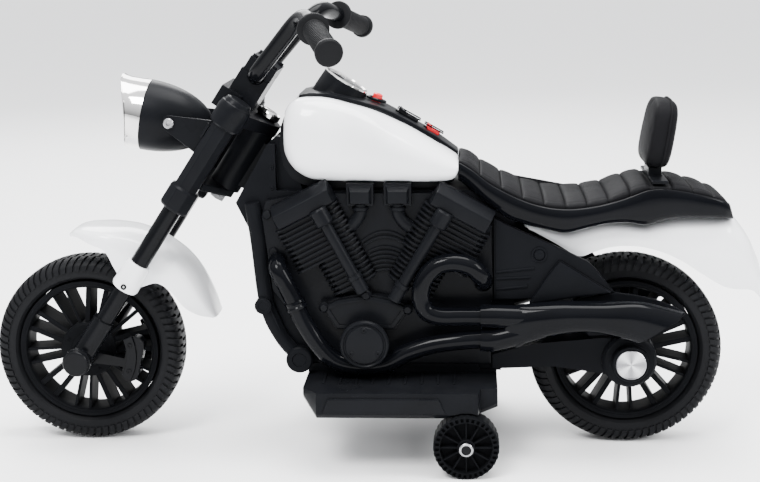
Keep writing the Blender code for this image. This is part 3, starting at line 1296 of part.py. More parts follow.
REAR_SKIRT = [(-128.5, 0.1960), (-124.0, 0.1680), (-120.0, 0.1480), (-116.0, 0.1330), (-97.0, 0.1315),
              (-85.0, 0.1305), (-74.0, 0.1288), (-60.0, 0.1271), (-49.5, 0.1273), (-39.7, 0.1325),
              (-34.0, 0.1402), (-30.5, 0.1513), (-28.0, 0.1600), (-23.0, 0.1650)]
REAR_WIDTH = [(-130.0, 0.96), (-100.0, 1.0), (-60.0, 1.0), (-45.0, 0.92), (-35.0, 0.80), (-22.0, 0.55)]
BRACKET_X = (0.3170, 0.3365)
SEAT_FRONT_X = 0.1030
PAD_REAR_X = 0.4120


def seat_section(x, half, low, line):
    """Return one section of the gloss seat base."""
    middle = (low + line) / 2
    right = [(0.78 * half, low), (0.96 * half, low + 0.003), (half, middle), (0.93 * half, line)]
    left = [(-y, z) for y, z in right[::-1]]
    return [(x, y, z) for y, z in right + left]


def make_seat_base(finishes):
    """Loft the gloss seat base, hollow from below."""
    stations = [x for x, _ in SEAT_LINE]
    rings = []
    for x in stations:
        rings.append(seat_section(x, read_curve(SEAT_HALF, x), read_curve(SEAT_LOW, x),
                                  read_curve(SEAT_LINE, x)))
    item = loft(rings)
    hollow = []
    for x in stations[3:-3]:
        half = read_curve(SEAT_HALF, x) - 0.012
        low, line = read_curve(SEAT_LOW, x) - 0.004, read_curve(SEAT_LINE, x) - 0.004
        hollow.append([(x, -half * 0.7, low), (x, half * 0.7, low), (x, half * 0.85, line),
                       (x, -half * 0.85, line)])
    return name_piece(cut(item, loft(hollow)), "seat_base", finishes["gloss"])


def roll_stations():
    """Return the pad's stations as (x, depth of channel): rolls part at each channel."""
    span = PAD_REAR_X - SEAT_FRONT_X - 0.001
    stations = []
    for roll in range(SEAT_ROLLS):
        start = SEAT_FRONT_X + 0.0005 + span * roll / SEAT_ROLLS
        width = span / SEAT_ROLLS
        for share, depth in ((0.0, 1.0), (0.22, 0.12), (0.78, 0.12)):
            stations.append((start + share * width, depth * SEAT_CHANNEL))
    stations.append((PAD_REAR_X - 0.0005, SEAT_CHANNEL))
    return stations


def make_seat_pad(finishes):
    """Loft the channelled seat cushion, crowned, with its sides drawn in."""
    rings = []
    lower, upper = BRACKET_X
    stations = [station for station in roll_stations() if not lower - 0.004 < station[0] < upper + 0.004]
    stations += [(x, None if x > lower else 0.0) for x, _ in SEAT_LINE if lower - 0.006 < x < upper]
    stations += [(lower - FIT - 0.0012, 0.0), (lower - FIT, None), (upper + FIT, None),
                 (upper + FIT + 0.0012, 0.0)]
    for x, depth in sorted(stations, key=lambda station: station[0]):
        base = read_curve(SEAT_LINE, x) + 3 * FIT
        half = 0.93 * read_curve(SEAT_HALF, x) - PAD_MARGIN
        crest = read_curve(SEAT_CREST, x) - (depth or 0.0)
        if depth is None:
            crest = base + 0.0035
        rise = crest - base
        swell = half + 0.0012 - (depth or 0.0) * 0.6
        right = [(half - 0.004, 0.0), (swell, 0.36 * rise), (swell - 0.006, 0.68 * rise), (0.62 * half,
                                                                                           0.86 * rise)]
        section = [(y, base + up) for y, up in right] + [(0.0, crest)]
        section += [(-y, base + up) for y, up in right[::-1]]
        rings.append([(x, y, z) for y, z in section])
    return name_piece(loft(rings), "seat_pad", finishes["leather"])


def make_backrest_bracket(finishes):
    """Make the strap across the seat with the post that carries the backrest."""
    lower, upper = BRACKET_X
    x = (lower + upper) / 2
    line = read_curve(SEAT_LINE, x)
    half = 0.93 * read_curve(SEAT_HALF, x) - PAD_MARGIN
    top = line + 0.0085
    low = line + FIT + 0.0035 + FIT + 0.0006
    strap = box((lower + 0.0006, -half, low), (upper - 0.0006, half, top))
    foot = backrest_point(0, 0, -FIT)
    post = box((lower + 0.0006, -0.020, top - 0.002), (upper - 0.0036, 0.020, foot.z - 0.0012))
    return name_piece(fuse(strap, post), "backrest_bracket", finishes["satin"])


def backrest_point(across, back, up):
    """Return a point of the backrest's own frame in world coordinates."""
    foot = Vector((0.3234, 0.0, 0.3296))
    lean = BACKREST_LEAN
    return foot + Vector((back * cos(lean) + up * sin(lean), across, up * cos(lean) - back * sin(lean)))


def make_backrest_pad(finishes):
    """Loft the puffed backrest cushion."""
    half, height, thick = BACKREST_HALF_WIDTH, BACKREST_HEIGHT, BACKREST_THICKNESS / 2
    quarter = [(half * 0.55, 0.0), (half * 0.84, 0.004), (half * 0.98, 0.014), (half, height * 0.34),
               (half * 0.95, height * 0.66), (half * 0.84, height * 0.86), (half * 0.62, height * 0.97),
               (half * 0.28, height)]
    outline = quarter + [(-across, up) for across, up in quarter[::-1]]
    rings = []
    for back, factor in ((-1.10, 0.45), (-1.0, 0.80), (-0.72, 0.93), (-0.25, 1.0), (0.25, 1.0),
                         (0.72, 0.94),
                         (1.0, 0.84), (1.04, 0.45)):
        ring = []
        for across, up in outline:
            centred = height / 2 + (up - height / 2) * factor
            ring.append(backrest_point(across * factor, back * thick, centred))
        rings.append(ring)
    return name_piece(loft(rings), "backrest_pad", finishes["leather"])


def rear_fender_stations():
    """Return the fender's stations: the crest follows the seat base, then drops to the tail."""
    crest = [(x, z - 2 * FIT) for x, z in SEAT_LOW if 0.160 < x < 0.410] + REAR_TAIL
    stations = []
    for x, z in crest:
        dx, dz = x - REAR_AXLE_X, z - WHEEL_RADIUS
        degrees = math.degrees(math.atan2(dz, dx))
        skirt = read_curve(REAR_SKIRT, -degrees)
        stations.append((degrees, math.hypot(dx, dz), skirt, read_curve(REAR_WIDTH, -degrees)))
    return stations


def make_rear_fender(finishes):
    """Loft the long rear fender under the seat base."""
    item = fender((REAR_AXLE_X, WHEEL_RADIUS), rear_fender_stations(), REAR_FENDER_HALF_WIDTH)
    return name_piece(item, "rear_fender", finishes["white"])


def make_training_wheel(name, side, finishes, parent):
    """Turn a training wheel about its own axle."""
    width = TRAINING_WHEEL_WIDTH
    bore = TRAINING_AXLE_RADIUS + FIT
    profile = [(0, bore), (0, TRAINING_WHEEL_RADIUS), (width, TRAINING_WHEEL_RADIUS),
               (width, TRAINING_WHEEL_RADIUS - 0.0035), (width - 0.006, TRAINING_WHEEL_RADIUS - 0.0085),
               (width - 0.006, 0.0110), (width, 0.0100), (width, bore)]
    item = turned(profile, (0, side * TRAINING_WHEEL_INNER_Y, 0), (0, side, 0), 16, closed=True)
    return name_piece(item, name, finishes["satin"], parent)


def make_training_bracket(finishes):
    """Make the training wheels' bracket: cross tube, uprights, axle ends and nuts."""
    x, z = TRAINING_WHEEL_X, TRAINING_WHEEL_RADIUS
    inner = TRAINING_WHEEL_INNER_Y - FIT
    outer = TRAINING_WHEEL_INNER_Y + TRAINING_WHEEL_WIDTH + FIT
    item = rod((x, -inner, z), (x, inner, z), 0.0065, 8)
    parts = [rod((x, -outer - 0.004, z), (x, outer + 0.004, z), TRAINING_AXLE_RADIUS, 12)]
    for _, side in SIDES:
        outside = inner - 0.0040
        low, high = sorted((side * (outside - TRAINING_UPRIGHT), side * outside))
        parts.append(box((x - 0.011, low, z - 0.009), (x + 0.011, high, FOOTBOARD_BOTTOM_Z - 0.002)))
        flange = sorted((side * (outside - 0.0220), side * (outside - 0.0008)))
        parts.append(box((x - 0.0105, flange[0], FOOTBOARD_BOTTOM_Z - 0.0040),
                         (x + 0.0105, flange[1], FOOTBOARD_BOTTOM_Z - FIT)))
        parts.append(rod((x, side * outer, z), (x, side * (outer + 0.0050), z), 0.0080, 6))
    return name_piece(fuse(item, *parts), "training_wheel_bracket", finishes["steel"])


def make_hub_cap(name, side, finishes):
    """Turn the silver cap on the end of the rear hub tube."""
    start = (REAR_AXLE_X, side * (HUB_TUBE_OUTER_Y + FIT), WHEEL_RADIUS)
    profile = [(0, HUB_CAP_RADIUS), (HUB_CAP_THICKNESS - 0.0006, HUB_CAP_RADIUS),
               (HUB_CAP_THICKNESS, HUB_CAP_RADIUS - 0.0006)]
    item = turned(profile, start, (REAR_AXLE_X, side, WHEEL_RADIUS), 16)
    return name_piece(item, name, finishes["brushed"])


def make_steering_group(finishes):
    """Make everything that turns with the handlebar."""
    steering = empty("steering_axis", STEERING_ORIGIN, turn_y=RAKE)
    stem = rod((0, 0, LOWER_YOKE_BOTTOM - 0.002), (0, 0, UPPER_YOKE_TOP), STEM_RADIUS)
    name_piece(stem, "steering_stem", finishes["steel"], steering)
    nut = rod((0, 0, LOWER_YOKE_BOTTOM - STEM_NUT_HEIGHT - FIT), (0, 0, LOWER_YOKE_BOTTOM - FIT),
              STEM_NUT_FLATS / 2, 6)
    thread = rod((0, 0, LOWER_YOKE_BOTTOM - 0.005), (0, 0, LOWER_YOKE_BOTTOM + 0.01), STEM_RADIUS + FIT)
    name_piece(cut(nut, thread), "stem_nut", finishes["chrome"], steering)
    cap = turned([(0, 0.0118), (0.0035, 0.0142), (0.0085, 0.0142)], (0, 0, UPPER_YOKE_TOP + FIT), (0, 0, 1))
    name_piece(cap, "steering_cap", finishes["satin"], steering)
    make_lower_yoke(finishes, steering)
    make_upper_yoke(finishes, steering)
    make_bar_cap(finishes, steering)
    make_handlebar(finishes, steering)
    make_front_fender(finishes, steering)
    make_headlight_bracket(finishes, steering)
    axle_end = FORK_END_OUTER_Y - 0.0065
    axle = rod((-FORK_OFFSET, -axle_end, 0), (-FORK_OFFSET, axle_end, 0), AXLE_RADIUS)
    name_piece(axle, "front_axle", finishes["steel"], steering)
    for label, side in SIDES:
        make_grip("grip_" + label, side, finishes, steering)
        make_fork_leg("fork_leg_" + label, side, finishes, steering)
        make_fork_sleeve("fork_sleeve_" + label, side, finishes, steering)
    wheel = empty("front_wheel_axis", (-FORK_OFFSET, 0, 0), steering, -RAKE)
    make_tyre("front_tyre", finishes, wheel)
    make_rim("front_rim", FRONT_SPOKE_TURN, finishes, wheel)
    make_headlight_group(finishes, steering)


def make_headlight_group(finishes, steering):
    """Make the headlight that tilts between the ears."""
    place = (-(FORK_OFFSET + LAMP_PIVOT_FORWARD), 0, LAMP_PIVOT_S)
    tilt = empty("headlight_axis", place, steering, LAMP_TILT - RAKE)
    make_headlight_shell(finishes, tilt)
    make_headlight_bezel(finishes, tilt)
    make_headlight_lens(finishes, tilt)
    make_headlight_reflector(finishes, tilt)
    for label, side in SIDES:
        make_lamp_bolt("headlight_bolt_" + label, side, finishes, tilt)


def make_rear_wheel(finishes):
    """Make the driven rear wheel and its axle."""
    wheel = empty("rear_wheel_axis", (REAR_AXLE_X, 0, WHEEL_RADIUS))
    make_tyre("rear_tyre", finishes, wheel)
    make_rim("rear_rim", REAR_SPOKE_TURN, finishes, wheel)
    end = HUB_TUBE_OUTER_Y - 0.0065
    axle = rod((REAR_AXLE_X, -end, WHEEL_RADIUS), (REAR_AXLE_X, end, WHEEL_RADIUS), AXLE_RADIUS)
    name_piece(axle, "rear_axle", finishes["steel"])


def main():
    """Build the whole motorcycle."""
    clear_scene()
    finishes = make_finishes()
    make_steering_group(finishes)
    make_steering_head(finishes)
    make_rear_wheel(finishes)
    for label, side in SIDES:
        make_body("body_" + label, side, finishes)
        make_tank_cover("tank_cover_" + label, side, finishes)
        make_engine_cover("engine_cover_" + label, side, finishes)
        make_timing_cover("timing_cover_" + label, side, finishes)
        make_exhaust("exhaust_" + label, side, finishes)
        make_footboard("footboard_" + label, side, finishes)
        make_hub_cap("hub_cap_" + label, side, finishes)
        holder = empty("training_wheel_axis_" + label, (TRAINING_WHEEL_X, 0, TRAINING_WHEEL_RADIUS))
        make_training_wheel("training_wheel_" + label, side, finishes, holder)
    make_tank_core(finishes)
    make_console(finishes)
    make_dial(finishes)
    make_horn_button(finishes)
    make_rocker("direction_switch", DIRECTION_X, DIRECTION_LENGTH, DIRECTION_WIDTH, finishes["satin"])
    make_rocker("power_switch", POWER_X, POWER_LENGTH, POWER_WIDTH, finishes["red"])
    make_battery(finishes)
    make_gearbox(finishes)
    make_motor(finishes)
    make_seat_base(finishes)
    make_seat_pad(finishes)
    make_backrest_bracket(finishes)
    make_backrest_pad(finishes)
    make_rear_fender(finishes)
    make_training_bracket(finishes)
    make_pedal(finishes)


if __name__ == "__main__":
    main()
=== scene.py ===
"""Looks of a kids ride-on motorcycle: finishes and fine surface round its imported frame.

Metres, +Z up, floor at Z = 0. The front wheel points to -X, the rider's left is -Y.
"""
import json
import logging
from dataclasses import dataclass
from enum import Enum
from math import atan2, cos, degrees, hypot, pi, radians, sin, tau
from typing import Callable, Iterable, Sequence

import bpy
from mathutils import Matrix, Vector, noise


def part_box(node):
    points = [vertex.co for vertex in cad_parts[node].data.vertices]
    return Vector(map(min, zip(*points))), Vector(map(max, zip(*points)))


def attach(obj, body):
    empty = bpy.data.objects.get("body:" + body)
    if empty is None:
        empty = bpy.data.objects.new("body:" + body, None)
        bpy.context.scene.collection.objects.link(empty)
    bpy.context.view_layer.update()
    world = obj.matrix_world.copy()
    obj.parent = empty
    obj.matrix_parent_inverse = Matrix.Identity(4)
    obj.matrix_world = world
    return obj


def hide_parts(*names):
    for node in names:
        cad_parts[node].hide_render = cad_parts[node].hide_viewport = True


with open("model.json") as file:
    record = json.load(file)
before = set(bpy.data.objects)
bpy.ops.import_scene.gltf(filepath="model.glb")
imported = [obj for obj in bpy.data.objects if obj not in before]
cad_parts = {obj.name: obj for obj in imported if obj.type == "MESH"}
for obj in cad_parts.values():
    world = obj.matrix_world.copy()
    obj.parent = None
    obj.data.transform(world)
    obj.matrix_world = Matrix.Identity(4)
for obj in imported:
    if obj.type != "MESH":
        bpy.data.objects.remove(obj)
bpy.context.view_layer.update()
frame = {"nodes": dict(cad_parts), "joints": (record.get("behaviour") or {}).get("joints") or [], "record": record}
BODY_OF = {node: body for body, nodes in frame["record"]["behaviour"]["bodies"].items() for node in nodes}
LOG = logging.getLogger("motorcycle")

# The least radius at a pole, and how near points lie that a seam merges
POLE = 0.000005
SEAM = 0.00002
SIDES = (("left", -1), ("right", 1))
Row = tuple[float, ...]
Table = Sequence[Row]
Piece = bpy.types.Object
Socket = bpy.types.NodeSocket
Tree = bpy.types.NodeTree
Place = Callable[[float, float], Sequence[float]]

# Places shared by several sub-assemblies, as the construction has them
FRONT_AXLE = Vector((-0.341, 0.0, 0.112))
REAR_AXLE = Vector((0.296, 0.0, 0.112))
RAKE = radians(33.5)
FORK_OFFSET = 0.032
FORK_SPREAD = 0.058
STEERING_FOOT = FRONT_AXLE + Vector((FORK_OFFSET * cos(RAKE), 0.0, -FORK_OFFSET * sin(RAKE)))
STEERING_TURN = Matrix.Translation(STEERING_FOOT) @ Matrix.Rotation(RAKE, 4, "Y")
ENGINE_FACE = 0.062


def read(rows: Table, at: float, column: int = 1) -> float:
    """Read a table smoothly between its rows.

    Args:
        rows: rows whose first number rises.
        at: the place to read at.
        column: which number of a row to read.

    Returns:
        The value there, or the nearest end row's.
    """
    if at <= rows[0][0]:
        return rows[0][column]
    if at >= rows[-1][0]:
        return rows[-1][column]
    index = next(i for i in range(len(rows) - 1) if rows[i + 1][0] > at)
    before, low, high, after = (rows[max(0, min(len(rows) - 1, index + step))] for step in (-1, 0, 1, 2))
    span = high[0] - low[0]
    rise_in = (high[column] - before[column]) / (high[0] - before[0]) * span
    rise_out = (after[column] - low[column]) / (after[0] - low[0]) * span
    t = (at - low[0]) / span
    return ((2 * t ** 3 - 3 * t ** 2 + 1) * low[column] + (t ** 3 - 2 * t ** 2 + t) * rise_in
            + (3 * t ** 2 - 2 * t ** 3) * high[column] + (t ** 3 - t ** 2) * rise_out)


def smooth_line(points: Sequence[Sequence[float]], steps: int) -> list[Vector]:
    """Return points along a smooth curve through the given ones.

    Args:
        points: the curve's own points.
        steps: new points for each stretch.

    Returns:
        The points, the last one included.
    """
    knots = [Vector(point) for point in points]
    knots = [2 * knots[0] - knots[1]] + knots + [2 * knots[-1] - knots[-2]]
    line = []
    for a, b, c, d in zip(knots, knots[1:], knots[2:], knots[3:]):
        for step in range(steps):
            t = step / steps
            line.append(0.5 * (2 * b + (c - a) * t + (2 * a - 5 * b + 4 * c - d) * t * t
                               + (3 * b - a - 3 * c + d) * t ** 3))
    return line + [knots[-2]]


def power(value: float, exponent: float) -> float:
    """Raise a value to a power and keep its sign: below 1 squares a round section off."""
    return (abs(value) ** exponent) * (1 if value >= 0 else -1)


def shift(x: float, y: float, z: float) -> Matrix:
    """Return the placement that moves a shape."""
    return Matrix.Translation((x, y, z))


def spin(turn: float, axis: str) -> Matrix:
    """Return the placement that turns a shape about an axis."""
    return Matrix.Rotation(turn, 4, axis)


def fork_place(side: int) -> Matrix:
    """Return the placement that lays +Z up one leg of the fork."""
    return STEERING_TURN @ shift(-FORK_OFFSET, side * FORK_SPREAD, 0)


def middle_of(node: str) -> Vector:
    """Return the middle of a node's box."""
    low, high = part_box(node)
    return (Vector(low) + Vector(high)) / 2


def joint(name: str) -> dict:
    """Return one of the frame's joints."""
    return next(found for found in frame["joints"] if found["name"] == name)


def put(obj: Piece, place: Matrix) -> Piece:
    """Move a shape's mesh to its place and return the shape."""
    obj.data.transform(place)
    return obj


def clear_selection() -> None:
    """Leave edit mode and deselect everything."""
    if bpy.context.mode != "OBJECT":
        bpy.ops.object.mode_set(mode="OBJECT")
    bpy.ops.object.select_all(action="DESELECT")


def alone(obj: Piece) -> None:
    """Select one object and nothing else.

    Args:
        obj: the object, which becomes the active one.
    """
    clear_selection()
    obj.select_set(True)
    bpy.context.view_layer.objects.active = obj


def edit_all(obj: Piece) -> None:
    """Enter edit mode on one shape with all of its points selected.

    Args:
        obj: the shape.
    """
    alone(obj)
    bpy.ops.object.mode_set(mode="EDIT")
    bpy.ops.mesh.select_mode(type="VERT")
    bpy.ops.mesh.select_all(action="SELECT")


def edit_faces(obj: Piece, test: Callable[[bpy.types.MeshPolygon], bool]) -> None:
    """Enter edit mode on one shape with only some of its faces selected.

    Args:
        obj: the shape.
        test: tells whether a face is one of them.
    """
    alone(obj)
    bpy.ops.object.mode_set(mode="EDIT")
    bpy.ops.mesh.select_mode(type="FACE")
    bpy.ops.mesh.select_all(action="DESELECT")
    bpy.ops.object.mode_set(mode="OBJECT")
    for face in obj.data.polygons:
        face.select = test(face)
    bpy.ops.object.mode_set(mode="EDIT")


def close_seams(obj: Piece, fill: bool = False) -> Piece:
    """Merge a shape's seams and poles and turn its faces out.

    Args:
        obj: the shape.
        fill: fills its open ends first.

    Returns:
        The same object.
    """
    edit_all(obj)
    bpy.ops.mesh.remove_doubles(threshold=SEAM)
    if fill:
        bpy.ops.mesh.select_all(action="SELECT")
        bpy.ops.mesh.fill_holes(sides=0)
    bpy.ops.mesh.select_all(action="SELECT")
    bpy.ops.mesh.normals_make_consistent(inside=False)
    bpy.ops.object.mode_set(mode="OBJECT")
    return obj


def turned(profile: Table, segments: int, closed: bool = False) -> Piece:
    """Turn a profile round +Z: a circle that is extruded and scaled from point to point.

    Args:
        profile: (height, radius) points in order.
        segments: sides of the circle.
        closed: joins the last point to the first, for a ring with a bore.

    Returns:
        The new object.
    """
    clear_selection()
    bpy.ops.mesh.primitive_circle_add(vertices=segments, radius=max(profile[0][1], POLE),
                                      fill_type="NOTHING" if closed else "NGON")
    obj = bpy.context.active_object
    edit_all(put(obj, shift(0, 0, profile[0][0])))
    height, radius = profile[0]
    for next_height, next_radius in list(profile[1:]) + ([profile[0]] if closed else []):
        bpy.ops.mesh.extrude_region_move(TRANSFORM_OT_translate={"value": (0, 0, next_height - height)})
        ratio = max(next_radius, POLE) / max(radius, POLE)
        bpy.ops.transform.resize(value=(ratio, ratio, 1), center_override=(0, 0, next_height))
        height, radius = next_height, next_radius
    return close_seams(obj)


def moulded(cells: tuple[int, int], place: Place, fill: bool = False) -> Piece:
    """Mould a grid: each of its points moves to where the shape has it.

    Args:
        cells: cells along u and along v.
        place: gives the point for u and v, each from 0 to 1.
        fill: closes the open ends.

    Returns:
        The new object.
    """
    clear_selection()
    bpy.ops.mesh.primitive_grid_add(x_subdivisions=cells[0], y_subdivisions=cells[1], size=1.0)
    obj = bpy.context.active_object
    for vertex in obj.data.vertices:
        vertex.co = place(min(1.0, max(0.0, vertex.co.x + 0.5)), min(1.0, max(0.0, vertex.co.y + 0.5)))
    return close_seams(obj, fill)


def extruded(outline: Table, low: float, high: float, bevel: float = 0.0, upright: bool = True) -> Piece:
    """Extrude an outline into a plate with softened edges.

    Args:
        outline: corner points, in XZ when upright and in XY otherwise.
        low: where the plate starts, along Y when upright and along Z otherwise.
        high: where it ends.
        bevel: width of the softened edges.
        upright: the plate stands in XZ.

    Returns:
        The new object.
    """
    clear_selection()
    bpy.ops.mesh.primitive_circle_add(vertices=len(outline), radius=1.0, fill_type="NGON")
    obj = bpy.context.active_object
    for vertex, (first, second) in zip(obj.data.vertices, outline):
        vertex.co = (first, low, second) if upright else (first, second, low)
    edit_all(obj)
    move = (0, high - low, 0) if upright else (0, 0, high - low)
    bpy.ops.mesh.extrude_region_move(TRANSFORM_OT_translate={"value": move})
    close_seams(obj)
    return bevelled(obj, bevel) if bevel else obj


def block(low: Sequence[float], high: Sequence[float], bevel: float = 0.0) -> Piece:
    """Make a box between two corners, with softened edges.

    Args:
        low: one corner.
        high: the opposite corner.
        bevel: width of the softened edges.

    Returns:
        The new object.
    """
    clear_selection()
    start, end = Vector(low), Vector(high)
    size = [abs(value) for value in end - start]
    bpy.ops.mesh.primitive_cube_add(size=1.0, location=(start + end) / 2, scale=size)
    obj = bpy.context.active_object
    bpy.ops.object.transform_apply(location=True, rotation=True, scale=True)
    return bevelled(obj, bevel) if bevel else obj


def tube(points: Sequence[Sequence[float]], radius: float, rounds: int) -> Piece:
    """Sweep a round tube along a line of points.

    Args:
        points: the centre line.
        radius: the tube's radius.
        rounds: bevel resolution; the tube has 4 sides and 2 more for each round.

    Returns:
        The new mesh object.
    """
    clear_selection()
    bpy.ops.curve.primitive_bezier_curve_add()
    obj = bpy.context.active_object
    obj.data.splines.clear()
    obj.data.dimensions = "3D"
    obj.data.bevel_depth = radius
    obj.data.bevel_resolution = rounds
    obj.data.use_fill_caps = True
    spline = obj.data.splines.new("POLY")
    spline.points.add(len(points) - 1)
    for knot, point in zip(spline.points, points):
        knot.co = (*point, 1.0)
    alone(obj)
    bpy.ops.object.convert(target="MESH")
    return close_seams(bpy.context.active_object)


def modified(obj: Piece, kind: str, **settings: object) -> Piece:
    """Add a modifier to a shape and apply it.

    Args:
        obj: the shape.
        kind: the modifier's type.
        **settings: the modifier's settings.

    Returns:
        The same object.
    """
    modifier = obj.modifiers.new(kind.lower(), kind)
    for key, value in settings.items():
        setattr(modifier, key, value)
    alone(obj)
    bpy.ops.object.modifier_apply(modifier=modifier.name)
    return obj


def bevelled(obj: Piece, width: float, angle: float = 28.0) -> Piece:
    """Soften the edges that turn by more than an angle in degrees, and return the shape."""
    return modified(obj, "BEVEL", width=width, segments=2, limit_method="ANGLE",
                    angle_limit=radians(angle), use_clamp_overlap=True)


def walled(obj: Piece, inside: Sequence[float], thickness: float) -> Piece:
    """Give an open skin its wall, inwards.

    Args:
        obj: the skin.
        inside: a point on its inner side.
        thickness: the wall.

    Returns:
        The same object.
    """
    middle = Vector(inside)
    facing = sum(face.normal.dot(face.center - middle) * face.area for face in obj.data.polygons)
    if facing < 0:
        obj.data.flip_normals()
    return modified(obj, "SOLIDIFY", thickness=thickness, offset=-1.0, use_even_offset=True)


def softened(node: str, width: float) -> Piece:
    """Copy a node of the frame, merge it, and soften its edges.

    Args:
        node: the node's name.
        width: the bevel's width.

    Returns:
        The copy.
    """
    obj = bpy.data.objects.new(node + "_copy", frame["nodes"][node].data.copy())
    bpy.context.collection.objects.link(obj)
    alone(obj)
    bpy.ops.mesh.customdata_custom_splitnormals_clear()
    edit_all(obj)
    bpy.ops.mesh.remove_doubles(threshold=SEAM / 4)
    bpy.ops.mesh.dissolve_limited(angle_limit=radians(0.8))
    bpy.ops.object.mode_set(mode="OBJECT")
    return bevelled(obj, width, 34.0)


def joined(parts: Sequence[Piece]) -> Piece:
    """Join shapes into one object.

    Args:
        parts: the shapes; the first one takes in the others.

    Returns:
        The first shape.
    """
    alone(parts[0])
    for part in parts[1:]:
        part.select_set(True)
    bpy.ops.object.join()
    return bpy.context.active_object


def repeated(obj: Piece, matrices: Iterable[Matrix]) -> Piece:
    """Copy a shape to several places and join the copies.

    Args:
        obj: the shape, which is used up.
        matrices: one place for each copy.

    Returns:
        The joined copies.
    """
    copies = []
    for matrix in matrices:
        copy = bpy.data.objects.new(obj.name, obj.data.copy())
        copy.data.transform(matrix)
        bpy.context.collection.objects.link(copy)
        copies.append(copy)
    bpy.data.objects.remove(obj)
    return joined(copies)


def pushed(obj: Piece, test: Callable[[Vector, Vector], bool], height: float, inset: float = 0.0) -> Piece:
    """Raise or sink the faces that pass a test.

    Args:
        obj: the shape.
        test: takes a face's centre and normal.
        height: how far the faces move along their normals.
        inset: how far they draw in first, each by itself.

    Returns:
        The same object.
    """
    edit_faces(obj, lambda face: test(face.center, face.normal))
    if inset:
        bpy.ops.mesh.inset(thickness=inset, depth=0.0, use_individual=True)
    bpy.ops.mesh.extrude_region_shrink_fatten(TRANSFORM_OT_shrink_fatten={"value": height})
    bpy.ops.object.mode_set(mode="OBJECT")
    return obj


def puffed(obj: Piece, voxel: float, cap: float, pressure: float = 4.0) -> Piece:
    """Swell a closed shape as cloth under pressure, then round it by one subdivision.

    Args:
        obj: the shape, a little smaller than it should end.
        voxel: the remesh's cell.
        cap: the furthest that a point may move.
        pressure: the cloth's inner pressure.

    Returns:
        The same object.
    """
    alone(obj)
    obj.data.remesh_voxel_size = voxel
    bpy.ops.object.voxel_remesh()
    before = [vertex.co.copy() for vertex in obj.data.vertices]
    cloth = obj.modifiers.new("cloth", "CLOTH")
    cloth.settings.use_pressure = True
    cloth.settings.uniform_pressure_force = pressure
    cloth.settings.effector_weights.gravity = 0.0
    cloth.point_cache.frame_start, cloth.point_cache.frame_end = 1, 20
    for step in range(1, 21):
        bpy.context.scene.frame_set(step)
    bpy.ops.object.modifier_apply(modifier=cloth.name)
    bpy.context.scene.frame_set(1)
    for vertex, start in zip(obj.data.vertices, before):
        move = vertex.co - start
        vertex.co = start + move * min(1.0, cap / max(move.length, POLE))
    return modified(obj, "SUBSURF", levels=1, render_levels=1)


def towards(start: Sequence[float], end: Sequence[float]) -> Matrix:
    """Return the placement that lays +Z along a line, from its start to its end."""
    aim = (Vector(end) - Vector(start)).normalized()
    return Matrix.Translation(Vector(start)) @ aim.to_track_quat("Z", "X").to_matrix().to_4x4()


def on_axle(centre: Sequence[float], side: int = -1) -> Matrix:
    """Return the placement that lays +Z along an axle: out to the left for side -1, to the right for 1."""
    return Matrix.Translation(centre) @ Matrix.Rotation(-side * pi / 2, 4, "X")


def screw(place: Matrix, radius: float, height: float) -> Piece:
    """Return a screw head with a socket, +Z out of the surface that it sits on."""
    head = turned([(-0.0006, radius), (height * 0.7, radius), (height, radius * 0.82),
                   (height, radius * 0.45), (height * 0.35, radius * 0.4), (height * 0.3, 0.0)], 20)
    return put(head, place)


class Slot(Enum):
    """The record's material slots."""

    BLACK = "black_plastic"
    GLOSS_BLACK = "gloss_black_plastic"
    WHITE = "white_plastic"
    PAINTED = "black_painted_metal"
    RUBBER = "rubber"
    TYRE = "tyre"
    LEATHER = "leatherette"
    RED = "red_plastic"
    CHROME = "chrome_trim"
    BRUSHED = "brushed_metal"
    PLATED = "plated_steel"
    LENS = "lens"
    DIAL = "dial_face"
    BATTERY = "battery_case"


class Relief(Enum):
    """The fine relief of a surface."""

    GRAIN = "mould_grain"
    HIDE = "hide_grain"
    RINGS = "brushed_rings_and_painted_sheen"


def new_group(name: str, inputs: dict[str, float], outputs: Sequence[str]) -> Tree:
    """Start a shader node group with named sockets.

    Args:
        name: the group's name.
        inputs: its inputs and their usual values.
        outputs: its outputs.

    Returns:
        The group, with its input and output nodes.
    """
    group = bpy.data.node_groups.new(name, "ShaderNodeTree")
    for label, value in inputs.items():
        socket = group.interface.new_socket(name=label, in_out="INPUT", socket_type="NodeSocketFloat")
        socket.default_value = value
    for label in outputs:
        group.interface.new_socket(name=label, in_out="OUTPUT", socket_type="NodeSocketFloat")
    group.nodes.new("NodeGroupInput")
    group.nodes.new("NodeGroupOutput")
    return group


def ends(group: Tree) -> tuple[bpy.types.Node, bpy.types.Node]:
    """Return a group's input and output nodes."""
    found = {node.bl_idname: node for node in group.nodes}
    return found["NodeGroupInput"], found["NodeGroupOutput"]


def noise_node(tree: Tree, source: Socket, detail: float, scale: float | Socket) -> Socket:
    """Add a noise texture.

    Args:
        tree: where to add it.
        source: the coordinates.
        detail: its detail.
        scale: its scale, or the socket that gives it.

    Returns:
        The noise's value.
    """
    texture = tree.nodes.new("ShaderNodeTexNoise")
    texture.inputs["Detail"].default_value = detail
    tree.links.new(source, texture.inputs["Vector"])
    if isinstance(scale, Socket):
        tree.links.new(scale, texture.inputs["Scale"])
    else:
        texture.inputs["Scale"].default_value = scale
    return texture.outputs["Fac"]


